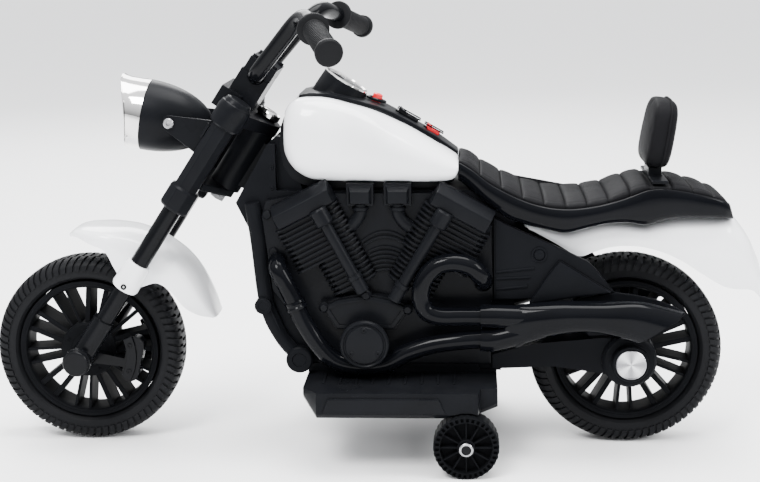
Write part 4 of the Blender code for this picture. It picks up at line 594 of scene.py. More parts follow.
def spread_node(tree: Tree, source: Socket, spans: tuple[float, float, float, float]) -> Socket:
    """Map a value from one range to another.

    Args:
        tree: where to add the node.
        source: the value.
        spans: the range it comes in and the range it goes out in.

    Returns:
        The mapped value.
    """
    node = tree.nodes.new("ShaderNodeMapRange")
    for label, value in zip(("From Min", "From Max", "To Min", "To Max"), spans):
        node.inputs[label].default_value = value
    tree.links.new(source, node.inputs["Value"])
    return node.outputs["Result"]


def math_node(tree: Tree, operation: str, first: Socket, second: Socket | float) -> Socket:
    """Combine two values.

    Args:
        tree: where to add the node.
        operation: the math operation.
        first: the first value.
        second: the second value, or the socket that gives it.

    Returns:
        The result.
    """
    node = tree.nodes.new("ShaderNodeMath")
    node.operation = operation
    tree.links.new(first, node.inputs[0])
    if isinstance(second, Socket):
        tree.links.new(second, node.inputs[1])
    else:
        node.inputs[1].default_value = second
    return node.outputs[0]


@dataclass(frozen=True)
class Effects:
    """The shader node groups that the finishes share."""

    marks_scale: float = 22.0
    dust_scale: float = 60.0

    def build(self) -> None:
        """Make every group."""
        self.mould_grain()
        self.hide_grain()
        self.brushed_rings_and_painted_sheen()
        self.handling_marks()
        self.settled_dust()

    def mould_grain(self) -> None:
        """Make the fine grain of moulded plastic and rubber."""
        group = new_group(Relief.GRAIN.value, {"Scale": 900.0}, ("Height",))
        start, end = ends(group)
        where = group.nodes.new("ShaderNodeTexCoord").outputs["Object"]
        value = noise_node(group, where, 2.0, start.outputs["Scale"])
        group.links.new(value, end.inputs["Height"])

    def hide_grain(self) -> None:
        """Make leatherette's pebbles with finer creases between them."""
        group = new_group(Relief.HIDE.value, {"Scale": 620.0}, ("Height",))
        start, end = ends(group)
        where = group.nodes.new("ShaderNodeTexCoord").outputs["Object"]
        pebbles = group.nodes.new("ShaderNodeTexVoronoi")
        pebbles.feature = "DISTANCE_TO_EDGE"
        group.links.new(where, pebbles.inputs["Vector"])
        group.links.new(start.outputs["Scale"], pebbles.inputs["Scale"])
        crowns = spread_node(group, pebbles.outputs["Distance"], (0.0, 0.28, 0.0, 1.0))
        creases = noise_node(group, where, 4.0, 150.0)
        group.links.new(math_node(group, "ADD", crowns, creases), end.inputs["Height"])

    def brushed_rings_and_painted_sheen(self) -> None:
        """Make the fine rays of a face that was brushed while it turned about Y, and its painted sheen: dark
        sectors round the axle that stand in for the brushed face's reflection.
        """
        group = new_group(Relief.RINGS.value, {"Scale": 60.0}, ("Height", "Sweep"))
        start, end = ends(group)
        where = group.nodes.new("ShaderNodeTexCoord").outputs["Object"]
        centred = group.nodes.new("ShaderNodeMapping")
        centred.inputs["Location"].default_value = (-REAR_AXLE.x, 0.0, -REAR_AXLE.z)
        group.links.new(where, centred.inputs["Vector"])
        parts = group.nodes.new("ShaderNodeSeparateXYZ")
        group.links.new(centred.outputs["Vector"], parts.inputs["Vector"])
        angle = math_node(group, "ARCTAN2", parts.outputs["Z"], parts.outputs["X"])
        ray = group.nodes.new("ShaderNodeTexNoise")
        ray.noise_dimensions = "1D"
        ray.inputs["Detail"].default_value = 3.0
        group.links.new(angle, ray.inputs["W"])
        group.links.new(start.outputs["Scale"], ray.inputs["Scale"])
        group.links.new(ray.outputs["Fac"], end.inputs["Height"])
        # Painted sheen: a fixed pattern of dark sectors round the axle, painted into the colour where the brushed
        # face's reflection would dim.
        wave = math_node(group, "COSINE", math_node(group, "MULTIPLY", angle, 4.0), 0.0)
        painted_sheen_streaks = math_node(group, "ADD", wave, math_node(group, "MULTIPLY", ray.outputs["Fac"], 1.2))
        group.links.new(spread_node(group, painted_sheen_streaks, (-0.6, 1.8, 0.0, 1.0)), end.inputs["Sweep"])

    def handling_marks(self) -> None:
        """Make the soft patches that hands and wiping leave."""
        group = new_group("handling_marks", {"Scale": self.marks_scale}, ("Mask",))
        start, end = ends(group)
        where = group.nodes.new("ShaderNodeTexCoord").outputs["Object"]
        broad = noise_node(group, where, 3.0, start.outputs["Scale"])
        group.links.new(spread_node(group, broad, (0.35, 0.68, 0.0, 1.0)), end.inputs["Mask"])

    def settled_dust(self) -> None:
        """Make the thin dust that lies on faces that look up."""
        group = new_group("settled_dust", {"Scale": self.dust_scale}, ("Mask",))
        start, end = ends(group)
        where = group.nodes.new("ShaderNodeTexCoord").outputs["Object"]
        facing = group.nodes.new("ShaderNodeSeparateXYZ")
        group.links.new(group.nodes.new("ShaderNodeNewGeometry").outputs["Normal"], facing.inputs["Vector"])
        upward = spread_node(group, facing.outputs["Z"], (0.1, 1.0, 0.05, 1.0))
        patchy = spread_node(group, noise_node(group, where, 6.0, start.outputs["Scale"]),
                             (0.3, 0.75, 0.0, 1.0))
        group.links.new(math_node(group, "MULTIPLY", upward, patchy), end.inputs["Mask"])


@dataclass(frozen=True)
class Finish:
    """One finish: its colour, gloss, and the fine relief and marks on it."""

    name: str
    slot: Slot
    colour: Row
    roughness: float
    metallic: float = 0.0
    coat: float = 0.0
    tone: float = 1.25
    uneven: float = 0.05
    relief: Relief = Relief.GRAIN
    relief_scale: float = 900.0
    relief_depth: float = 0.00003
    specular: float = 0.5
    dust: float = 0.0
    clear: float = 0.0

    def material(self) -> bpy.types.Material:
        """Return the finish's material, made when it is first asked for."""
        found = bpy.data.materials.get(self.name)
        return found if found else self.build()

    def build(self) -> bpy.types.Material:
        """Make the material from a Principled shader and the shared effects.

        Returns:
            The new material.
        """
        made = bpy.data.materials.new(self.name)
        made.use_nodes = True
        tree = made.node_tree
        shader = tree.nodes["Principled BSDF"]
        shader.inputs["Metallic"].default_value = self.metallic
        shader.inputs["Specular IOR Level"].default_value = self.specular
        shader.inputs["Coat Weight"].default_value = self.coat
        shader.inputs["Coat Roughness"].default_value = 0.06
        shader.inputs["Transmission Weight"].default_value = self.clear
        marks = self.effect(tree, "handling_marks").outputs["Mask"]
        low, high = max(0.02, self.roughness - self.uneven), self.roughness + self.uneven
        tree.links.new(spread_node(tree, marks, (0.0, 1.0, low, high)), shader.inputs["Roughness"])
        tint = self.mixed(tree, marks, self.colour, [min(1.0, value * self.tone) for value in self.colour])
        if self.dust:
            dust = self.effect(tree, "settled_dust").outputs["Mask"]
            share = math_node(tree, "MULTIPLY", dust, self.dust)
            tint = self.mixed(tree, share, tint, (0.3, 0.29, 0.28))
        relief = self.effect(tree, self.relief.value)
        # Brushed faces get a painted sheen: their colour darkens in sectors that stand in for their reflection.
        if self.relief is Relief.RINGS:
            tint = self.mixed(tree, relief.outputs["Sweep"], tint, (0.16, 0.16, 0.17))
        tree.links.new(tint, shader.inputs["Base Color"])
        relief.inputs["Scale"].default_value = self.relief_scale
        bump = tree.nodes.new("ShaderNodeBump")
        bump.inputs["Distance"].default_value = self.relief_depth
        tree.links.new(relief.outputs["Height"], bump.inputs["Height"])
        tree.links.new(bump.outputs["Normal"], shader.inputs["Normal"])
        return made

    def effect(self, tree: Tree, name: str) -> bpy.types.Node:
        """Place a shared effect in a material.

        Args:
            tree: the material's nodes.
            name: the effect's group.

        Returns:
            The group's node.
        """
        node = tree.nodes.new("ShaderNodeGroup")
        node.node_tree = bpy.data.node_groups[name]
        return node

    def mixed(self, tree: Tree, share: Socket, first: Socket | Sequence[float],
              second: Sequence[float]) -> Socket:
        """Mix two colours.

        Args:
            tree: the material's nodes.
            share: how much of the second colour shows.
            first: the first colour, or the socket that gives it.
            second: the second colour.

        Returns:
            The mixed colour.
        """
        node = tree.nodes.new("ShaderNodeMix")
        node.data_type = "RGBA"
        tree.links.new(share, node.inputs[0])
        if isinstance(first, Socket):
            tree.links.new(first, node.inputs[6])
        else:
            node.inputs[6].default_value = (*first, 1.0)
        node.inputs[7].default_value = (*second, 1.0)
        return node.outputs[2]


SATIN = Finish("satin_black_moulding", Slot.BLACK, (0.0036, 0.0039, 0.0048), 0.32, specular=0.045, dust=0.006)
MATT = Finish("matt_black_casing", Slot.BLACK, (0.0038, 0.0041, 0.005), 0.42, specular=0.022, dust=0.004)
RIM = Finish("matt_black_wheel", Slot.BLACK, (0.0036, 0.0038, 0.0044), 0.5, specular=0.012)
GLOSS = Finish("gloss_black_moulding", Slot.GLOSS_BLACK, (0.0018, 0.002, 0.0027), 0.08, coat=0.012,
               specular=0.055, uneven=0.03, relief_scale=260.0, relief_depth=0.00001)
WHITE = Finish("white_gloss_moulding", Slot.WHITE, (0.83, 0.84, 0.86), 0.17, coat=0.4, tone=1.03, uneven=0.03,
               relief_scale=240.0, relief_depth=0.00001)
PAINTED = Finish("black_enamelled_steel", Slot.PAINTED, (0.0026, 0.0028, 0.0034), 0.18, coat=0.01,
                 specular=0.06, relief_scale=420.0, relief_depth=0.00002)
RUBBER = Finish("grip_rubber", Slot.RUBBER, (0.0052, 0.0054, 0.006), 0.58, specular=0.05, dust=0.006)
TYRE = Finish("tyre_rubber", Slot.TYRE, (0.0048, 0.005, 0.0057), 0.5, specular=0.06, dust=0.01,
              relief_scale=700.0, relief_depth=0.00006)
HIDE = Finish("black_leatherette", Slot.LEATHER, (0.005, 0.005, 0.0056), 0.46, relief=Relief.HIDE,
              specular=0.014, relief_scale=620.0, relief_depth=0.00016, dust=0.004)
RED = Finish("red_moulding", Slot.RED, (0.56, 0.003, 0.012), 0.26, coat=0.08, tone=1.08, specular=0.25)
CHROME = Finish("chrome_plating", Slot.CHROME, (0.66, 0.65, 0.64), 0.07, metallic=1.0, tone=0.97, uneven=0.03,
                relief_scale=300.0, relief_depth=0.000008)
BRUSHED = Finish("brushed_hub_face", Slot.BRUSHED, (0.62, 0.62, 0.64), 0.26, metallic=1.0, tone=0.9,
                 relief=Relief.RINGS, relief_scale=60.0, relief_depth=0.00012)
PLATED = Finish("zinc_plated_steel", Slot.PLATED, (0.3, 0.3, 0.31), 0.3, metallic=1.0, tone=0.8)
CLEAR = Finish("clear_polycarbonate", Slot.LENS, (0.94, 0.95, 0.96), 0.05, tone=1.02, uneven=0.02, clear=1.0,
               relief_scale=200.0, relief_depth=0.00001)
CASE = Finish("battery_case_moulding", Slot.BATTERY, (0.03, 0.031, 0.036), 0.45)
DIAL = Finish("printed_dial", Slot.DIAL, (0.012, 0.013, 0.015), 0.25, coat=0.3)
PRINT = Finish("dial_print", Slot.DIAL, (0.82, 0.83, 0.84), 0.35, tone=1.02)


def dressed(obj: Piece, name: str, finish: Finish, node: str = "", body: str = "",
            smooth: float = 32.0) -> Piece:
    """Name a finished piece, dress it and tie it to the body that carries it.

    Args:
        obj: the piece.
        name: its name.
        finish: its finish.
        node: the frame's node that it stands for, if any.
        body: the body it rides on, where it stands for no node.
        smooth: the turn, in degrees, above which an edge stays crisp.

    Returns:
        The same object.
    """
    alone(obj)
    obj.name = obj.data.name = name
    obj.data.materials.clear()
    obj.data.materials.append(finish.material())
    bpy.ops.object.shade_smooth_by_angle(angle=radians(smooth))
    modified(obj, "WEIGHTED_NORMAL", keep_sharp=True)
    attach(obj, body or BODY_OF[node])
    if node:
        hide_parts(node)
    LOG.info("%s: %d faces", name, len(obj.data.polygons))
    return obj


def refinish(node: str, finish: Finish) -> None:
    """Give a node of the frame that keeps its shape a better material.

    Args:
        node: the node's name.
        finish: its finish.
    """
    slots = frame["nodes"][node].material_slots
    if slots:
        for slot in slots:
            slot.material = finish.material()
    else:
        frame["nodes"][node].data.materials.append(finish.material())


@dataclass
class Wheel:
    """A road wheel: its lugged tyre and the spoked rim with its hub."""

    label: str
    centre: Vector
    spoke_turn: float
    radius: float = 0.112
    width: float = 0.05
    bead: float = 0.0835
    bead_edge: float = 0.0875
    bead_width: float = 0.955
    crown_shape: float = 0.62
    wall_shape: float = 0.66
    lug_height: float = 0.0022
    lugs: int = 74
    lug_middle: float = 0.0085
    lug_slant: float = 0.028
    shoulder: float = 0.0985
    shoulder_slant: float = 0.04
    rim_half: float = 0.0215
    opening: float = 0.0748
    hub_disc: float = 0.0335
    hub_half: float = 0.026
    bore: float = 0.0053
    wide_spokes: Row = (0.0062, 0.0062, 0.011)
    narrow_spokes: Row = (0.0036, 0.0034, 0.0088)
    pairs: int = 5
    bolt_circle: float = 0.0268

    def build(self) -> None:
        """Build and dress the tyre and the rim."""
        dressed(self.tyre(), "tyre_" + self.label, TYRE, self.label + "_tyre", smooth=26)
        dressed(self.rim(), "rim_" + self.label, RIM, self.label + "_rim")

    def tyre(self) -> Piece:
        """Return the tyre: a squared ring whose tread blocks are raised and slanted.

        Returns:
            The tyre.
        """
        crown = self.radius - self.lug_height
        middle, high, half = (self.bead + crown) / 2, (crown - self.bead) / 2, self.width / 2
        segments = self.lugs * 3
        clear_selection()
        bpy.ops.mesh.primitive_torus_add(major_radius=middle, minor_radius=high, major_segments=segments,
                                         minor_segments=28)
        obj = bpy.context.active_object
        for vertex in obj.data.vertices:
            x, y, z = vertex.co
            out, turn = hypot(x, y), atan2(y, x)
            lean = atan2(z, out - middle)
            new = middle + high * power(cos(lean), self.crown_shape)
            share = self.bead_width if new < self.bead_edge else 1.0
            vertex.co = (new * cos(turn), new * sin(turn), half * share * power(sin(lean), self.wall_shape))

        def lug(centre: Vector, normal: Vector) -> bool:
            """Tell whether a face is the top of a tread block.

            Args:
                centre: the face's centre.
                normal: its normal.

            Returns:
                True on a block.
            """
            index = int((atan2(centre.y, centre.x) / tau + 1.0) * segments) % segments
            if hypot(centre.x, centre.y) < self.shoulder:
                return False
            return (index + (1 if abs(centre.z) < self.lug_middle else 0)) % 3 != 0

        pushed(obj, lug, self.lug_height)
        for vertex in obj.data.vertices:
            x, y, z = vertex.co
            out, turn = hypot(x, y), atan2(y, x)
            low = min(1.0, max(0.0, (crown - out) / (crown - self.shoulder)))
            turn += self.lug_slant * abs(z) / half + self.shoulder_slant * low
            vertex.co = (out * cos(turn), out * sin(turn), z)
        return put(obj, on_axle(self.centre))

    def rim(self) -> Piece:
        """Return the rim: a lipped ring, ten pairs of spokes and a stepped hub.

        Returns:
            The rim.
        """
        half, inner, outer = self.rim_half, self.opening, self.bead - 0.0002
        right = [(half - 0.01, inner), (half - 0.003, inner + 0.0006), (half - 0.0006, inner + 0.0018),
                 (half, inner + 0.0034), (half - 0.0008, inner + 0.0048), (half - 0.0003, outer)]
        ring = turned([(-z, r) for z, r in right[::-1]] + right, 96, closed=True)
        disc = self.hub_disc
        steps = [(self.hub_half, self.bore), (self.hub_half, 0.0125), (0.024, 0.0136), (0.0236, 0.0185),
                 (0.0226, 0.0205), (0.0232, 0.022), (0.023, disc - 0.003), (0.0212, disc - 0.0004),
                 (0.018, disc)]
        hub = turned([(-z, r) for z, r in steps] + steps[::-1], 64, closed=True)
        parts = [ring, hub]
        for kind, sizes in enumerate((self.wide_spokes, self.narrow_spokes)):
            turns = [self.spoke_turn + tau * (pair + kind / 2) / self.pairs for pair in range(self.pairs)]
            parts.append(repeated(self.spoke(*sizes), [spin(turn, "Z") for turn in turns]))
        bolt = screw(shift(self.bolt_circle, 0, 0.023), 0.0022, 0.001)
        places = [spin(tau * n / self.pairs + self.spoke_turn, "Z") for n in range(self.pairs)]
        parts.append(repeated(bolt, places + [spin(pi, "X") @ place for place in places]))
        return put(joined(parts), on_axle(self.centre))

    def spoke(self, foot: float, tip: float, splay: float) -> Piece:
        """Return one pair of tapered spokes along +X.

        Args:
            foot: a spoke's width at the hub.
            tip: its width at the rim.
            splay: how far it stands from the pair's middle at the rim.

        Returns:
            The pair.
        """
        pair = []
        for offset in (-1, 1):
            obj = block((self.hub_disc - 0.004, -0.5, -0.5), (self.opening + 0.0012, 0.5, 0.5))
            for vertex in obj.data.vertices:
                at_rim = vertex.co.x > 0.05
                width, middle = (tip, splay) if at_rim else (foot, splay * 0.58)
                vertex.co.y = offset * middle + vertex.co.y * width
                vertex.co.z *= 0.034 if at_rim else 0.036
            pair.append(bevelled(obj, 0.0008))
        return joined(pair)


@dataclass
class TrainingWheel:
    """A small hard wheel with ribs, pockets in its rim and a recessed face."""

    label: str
    side: int
    radius: float = 0.0365
    half: float = 0.0135
    bar: float = 0.0005
    pockets: int = 34
    pocket_width: float = 0.0034
    pocket_reach: Row = (0.0302, 0.0345)
    web: float = 0.0292
    boss: float = 0.0098
    bore: float = 0.0046
    ribs: int = 12

    def build(self) -> None:
        """Build and dress the wheel and the plated ring at its axle's end."""
        node = "training_wheel_" + self.label
        middle = middle_of(node)
        web = turned([(-0.004, self.boss - 0.0002), (-0.004, self.web), (0.0035, self.web),
                      (0.0035, self.boss - 0.0002)], 48, closed=True)
        boss = turned([(-self.half, self.bore), (-self.half, self.boss), (self.half - 0.001, self.boss),
                       (self.half, self.boss - 0.001), (self.half, self.bore)], 48, closed=True)
        rib = block((0.009, -0.0008, 0.0), (self.web, 0.0008, self.half - 0.0024), 0.0004)
        ribs = repeated(rib, [spin(tau * n / self.ribs, "Z") for n in range(self.ribs)])
        wheel = put(joined([self.rim(), web, boss, ribs]), on_axle(middle, self.side))
        dressed(wheel, "small_wheel_" + self.label, RIM, node)
        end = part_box("training_wheel_bracket")[0 if self.side < 0 else 1].y
        ring = turned([(-0.001, 0.0056), (-0.001, 0.0078), (0.0002, 0.0078), (0.001, 0.007), (0.001, 0.0056)],
                      36, closed=True)
        put(ring, on_axle((middle.x, end, middle.z), self.side))
        dressed(ring, "axle_ring_" + self.label, PLATED, body="frame")

    def rim(self) -> Piece:
        """Return the rim, with bars on its tread and a row of pockets in its face.

        Returns:
            The rim, on +Z.
        """
        rim = turned([(-self.half, 0.0288), (-self.half, 0.0352),
                      (-self.half + 0.0014, self.radius - self.bar),
                      (self.half - 0.0014, self.radius - self.bar), (self.half, 0.0354), (self.half, 0.0292),
                      (self.half - 0.004, 0.0286)], self.pockets * 2, closed=True)
        pushed(rim, self.tread, self.bar)
        low, high = self.pocket_reach
        cut = block((low, -self.pocket_width / 2, self.half - 0.003),
                    (high, self.pocket_width / 2, self.half + 0.001))
        for vertex in cut.data.vertices:
            vertex.co.y *= vertex.co.x / 0.0325
        turns = [spin(tau * (n + 0.25) / self.pockets, "Z") for n in range(self.pockets)]
        hollows = repeated(cut, turns)
        modified(rim, "BOOLEAN", object=hollows, operation="DIFFERENCE", solver="EXACT")
        bpy.data.objects.remove(hollows)
        return rim

    def tread(self, centre: Vector, normal: Vector) -> bool:
        """Tell whether a face is a raised bar of the tread.

        Args:
            centre: the face's centre.
            normal: its normal.

        Returns:
            True on a bar.
        """
        out = hypot(centre.x, centre.y)
        even = int((atan2(centre.y, centre.x) / tau + 1.0) * self.pockets * 2) % 2 == 0
        return out > self.radius - 0.0012 and even and abs(normal.z) < 0.3


@dataclass
class Headlight:
    """The egg-shaped lamp with its chrome bezel, fluted lens and reflector."""

    radius: float = 0.0415
    depth: float = 0.078
    wall: float = 0.0025
    seam: float = 0.0357
    drop: float = 0.003
    tilt: float = radians(11.5)
    bezel_mean: float = 0.0268
    bezel_peak: float = 0.0085
    bezel_side_cut: float = 0.0078
    flutes: int = 15
    flute_depth: float = 0.00045
    lens_reach: float = 0.012
    segments: int = 72

    def __post_init__(self) -> None:
        """Place the lamp's own frame: +Z runs back from the seam, +X down."""
        lamp = Matrix.Translation(joint("headlight_tilt")["pos_m"]) @ spin(self.tilt, "Y")
        self.place = lamp @ shift(-self.seam, 0, -self.drop) @ spin(pi / 2, "Y")

    def build(self) -> None:
        """Build and dress the lamp's pieces."""
        self.dress(self.shell(), "lamp_bowl", SATIN, "headlight_shell")
        self.dress(self.bezel(), "lamp_bezel", CHROME, "headlight_bezel")
        self.dress(self.lens(), "lamp_glass", CLEAR, "headlight_lens")
        self.dress(self.reflector(), "lamp_mirror", CHROME, "headlight_reflector")
        for label, side in SIDES:
            node = "headlight_bolt_" + label
            middle, end = middle_of(node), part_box(node)[0 if side < 0 else 1].y
            place = on_axle((middle.x, end - side * 0.003, middle.z), side)
            shank = put(turned([(-0.009, 0.0025), (0.0006, 0.0025)], 16), place)
            dressed(joined([screw(place, 0.006, 0.0032), shank]), "lamp_bolt_" + label, PLATED, node)

    def dress(self, obj: Piece, name: str, finish: Finish, node: str) -> None:
        """Dress one of the lamp's pieces, made in the lamp's own frame."""
        dressed(put(obj, self.place), name, finish, node)

    def bowl_radius(self, depth: float) -> float:
        """Return the bowl's radius at a depth behind the seam."""
        return self.radius * max(0.0, 1 - (depth / self.depth) ** 2) ** 0.5

    def shell(self) -> Piece:
        """Return the hollow bowl with its pivot bosses.

        Returns:
            The bowl.
        """
        end = 0.075
        depths = [end * sin(pi / 2 * step / 14) for step in range(15)]
        outer = [(depth, self.bowl_radius(depth)) for depth in depths[:-1]] + [(end, 0.0)]
        inner = [(depth * 0.94 + 0.001, self.bowl_radius(depth) - self.wall) for depth in depths[:-1]]
        inner = inner[:-1] + [(end - self.wall - 0.001, 0.0)]
        bowl = turned(inner[::-1] + [(0.0, self.radius - self.wall)] + outer, self.segments)
        boss = turned([(0.0335, 0.0078), (0.0455, 0.007), (0.0485, 0.0064)], 32)
        pivot = shift(-self.drop, 0.0, self.seam)
        return joined([bowl, repeated(boss, [pivot @ spin(-side * pi / 2, "X") for _, side in SIDES])])

    def bezel(self) -> Piece:
        """Return the bezel: a ring that is longer above than below, cut back at its sides.

        Returns:
            The bezel.
        """
        radius = self.radius
        outer = [(0.0, radius - 0.0012), (0.01, radius), (0.3, radius - 0.0008), (0.7, radius - 0.0012),
                 (0.9, radius - 0.0003), (0.955, radius + 0.0007), (0.985, radius + 0.0008), (1.0, radius)]
        inner = [(1.0, radius - 0.0016), (0.96, radius - 0.0026), (0.5, radius - 0.0032),
                 (0.0, radius - 0.003)]
        obj = turned(outer + inner, self.segments, closed=True)
        for vertex in obj.data.vertices:
            share, up, across = vertex.co.z, -vertex.co.x / radius, vertex.co.y / radius
            reach = self.bezel_mean + self.bezel_peak * up - self.bezel_side_cut * across ** 2
            vertex.co.z = -0.0003 - share * reach
        obj.data.flip_normals()
        return obj

    def lens(self) -> Piece:
        """Return the fluted lens.

        Returns:
            The lens.
        """
        edge = self.radius - 0.0042
        obj = turned([(0.0022, edge), (0.0, edge), (-0.0012, edge * 0.86), (-0.0028, edge * 0.62),
                      (-0.004, edge * 0.34), (-0.0044, 0.0)], self.segments)
        for vertex in obj.data.vertices:
            out = hypot(vertex.co.x, vertex.co.y)
            if vertex.co.z < -0.0005:
                ripple = cos(vertex.co.y / edge * self.flutes * pi) * min(1.0, out / edge * 3)
                vertex.co.z += self.flute_depth * ripple
            vertex.co.z -= self.lens_reach
        return obj

    def reflector(self) -> Piece:
        """Return the mirror cup with its bulb.

        Returns:
            The mirror with its bulb.
        """
        edge = self.radius - self.wall - 0.0004
        cup = turned([(0.0285, 0.0095), (0.028, 0.016), (0.02, 0.0262), (0.01, 0.0335), (0.003, edge),
                      (0.0, edge), (0.0, edge - 0.003), (0.008, 0.0318), (0.018, 0.0248), (0.0255, 0.015),
                      (0.0255, 0.0095)], self.segments, closed=True)
        bulb = turned([(0.0275, 0.01), (0.0245, 0.01), (0.0225, 0.0062), (0.014, 0.0064), (0.0105, 0.0048),
                       (0.0092, 0.0)], 32)
        return joined([cup, bulb])


@dataclass
class Fork:
    """The fork: faceted sleeves, legs, yokes, clamp and the lamp's bracket."""

    sleeve_radius: float = 0.0146
    collar_radius: float = 0.0185
    collar_foot: float = 0.213
    collar_top: float = 0.2466
    sleeve_top: float = 0.3486
    sleeve_bore: float = 0.0108
    facets: int = 8
    caliper_outside: float = 0.0446
    caliper_top: float = 0.06
    caliper_shift: Vector = Vector((-0.0075, 0.0, 0.0145))
    plate_low: float = 0.051
    plate_high: float = 0.063
    plate_turns: tuple[int, int] = (-30, 22)
    plate_face: float = 0.047
    screw_turns: tuple[int, int] = (-20, 12)

    def build(self) -> None:
        """Build and dress the fork's pieces."""
        for label, side in SIDES:
            dressed(self.sleeve(side), "sleeve_" + label, SATIN, "fork_sleeve_" + label)
            dressed(self.leg(label, side), "leg_" + label, PAINTED, "fork_leg_" + label)
        dressed(self.yoke(), "yoke_upper", SATIN, "upper_fork_yoke")
        dressed(softened("lower_fork_yoke", 0.0012), "yoke_lower", SATIN, "lower_fork_yoke")
        dressed(softened("headlight_bracket", 0.0008), "lamp_bracket", SATIN, "headlight_bracket")
        dressed(softened("handlebar_clamp_cap", 0.0016), "bar_clamp", SATIN, "handlebar_clamp_cap")
        dressed(self.cap(), "stem_cap", CHROME, "steering_cap")
        for node in ("steering_stem", "stem_nut", "front_axle"):
            refinish(node, PLATED)

    def sleeve(self, side: int) -> Piece:
        """Return one faceted sleeve with its collar.

        Args:
            side: -1 for the rider's left, 1 for the right.

        Returns:
            The sleeve.
        """
        radius, collar, bore = self.sleeve_radius, self.collar_radius, self.sleeve_bore
        shape = [(self.collar_foot, bore), (self.collar_foot, collar - 0.002),
                 (self.collar_foot + 0.003, collar), (self.collar_top - 0.007, collar),
                 (self.collar_top - 0.0045, radius), (self.sleeve_top, radius), (self.sleeve_top, bore)]
        obj = put(turned(shape, self.facets, closed=True), spin(pi / self.facets, "Z"))
        return put(bevelled(obj, 0.0007), fork_place(side))

    def leg(self, label: str, side: int) -> Piece:
        """Return one leg with its axle cap and the dummy brake caliper, raised and faced with a plate.

        Args:
            label: left or right.
            side: -1 for the rider's left, 1 for the right.

        Returns:
            The leg.
        """
        obj = softened("fork_leg_" + label, 0.0009)
        for vertex in obj.data.vertices:
            share = min(1.0, max(0.0, (vertex.co.x - FRONT_AXLE.x - 0.016) / 0.018))
            if abs(vertex.co.y) < self.caliper_outside and vertex.co.z < FRONT_AXLE.z + self.caliper_top:
                vertex.co += self.caliper_shift * share
        cap = turned([(-0.004, 0.0164), (-0.0008, 0.0164), (0.0, 0.015), (0.0034, 0.0148), (0.0046, 0.0138),
                      (0.005, 0.0115), (0.005, 0.0)], 48)
        put(cap, on_axle(FRONT_AXLE + Vector((0, side * 0.08, 0)), side))
        first, last = self.plate_turns
        turns = [radians(turn) for turn in range(first, last + 1, 4)]
        edge = [(self.plate_high, turn) for turn in turns] + [(self.plate_low, turn) for turn in turns[::-1]]
        outline = [(FRONT_AXLE.x + out * cos(turn), FRONT_AXLE.z + out * sin(turn)) for out, turn in edge]
        parts = [obj, cap, extruded(outline, side * 0.042, side * self.plate_face, 0.0014)]
        out = (self.plate_low + self.plate_high) / 2
        for turn in (radians(turn) for turn in self.screw_turns):
            place = FRONT_AXLE + Vector((out * cos(turn), side * self.plate_face, out * sin(turn)))
            parts.append(screw(on_axle(place, side), 0.0028, 0.0018))
        return joined(parts)

    def yoke(self) -> Piece:
        """Return the upper yoke with a round socket and a disc cap over each leg.

        Returns:
            The yoke.
        """
        parts = [softened("upper_fork_yoke", 0.0014)]
        for _, side in SIDES:
            socket = turned([(0.325, 0.0168), (0.3275, 0.0192), (0.347, 0.0196), (0.3535, 0.018),
                             (0.356, 0.015), (0.356, 0.0135), (0.3585, 0.0135), (0.36, 0.012),
                             (0.36, 0.0)], 40)
            parts.append(put(socket, fork_place(side)))
        return joined(parts)

    def cap(self) -> Piece:
        """Return the ring and cap over the steering stem.

        Returns:
            The cap.
        """
        low = self.sleeve_top + 0.0013
        cap = turned([(low, 0.0118), (low + 0.003, 0.0146), (low + 0.0072, 0.0146), (low + 0.0086, 0.0132),
                      (low + 0.0078, 0.011), (low + 0.0098, 0.008), (low + 0.0104, 0.0)], 48)
        return put(cap, STEERING_TURN)


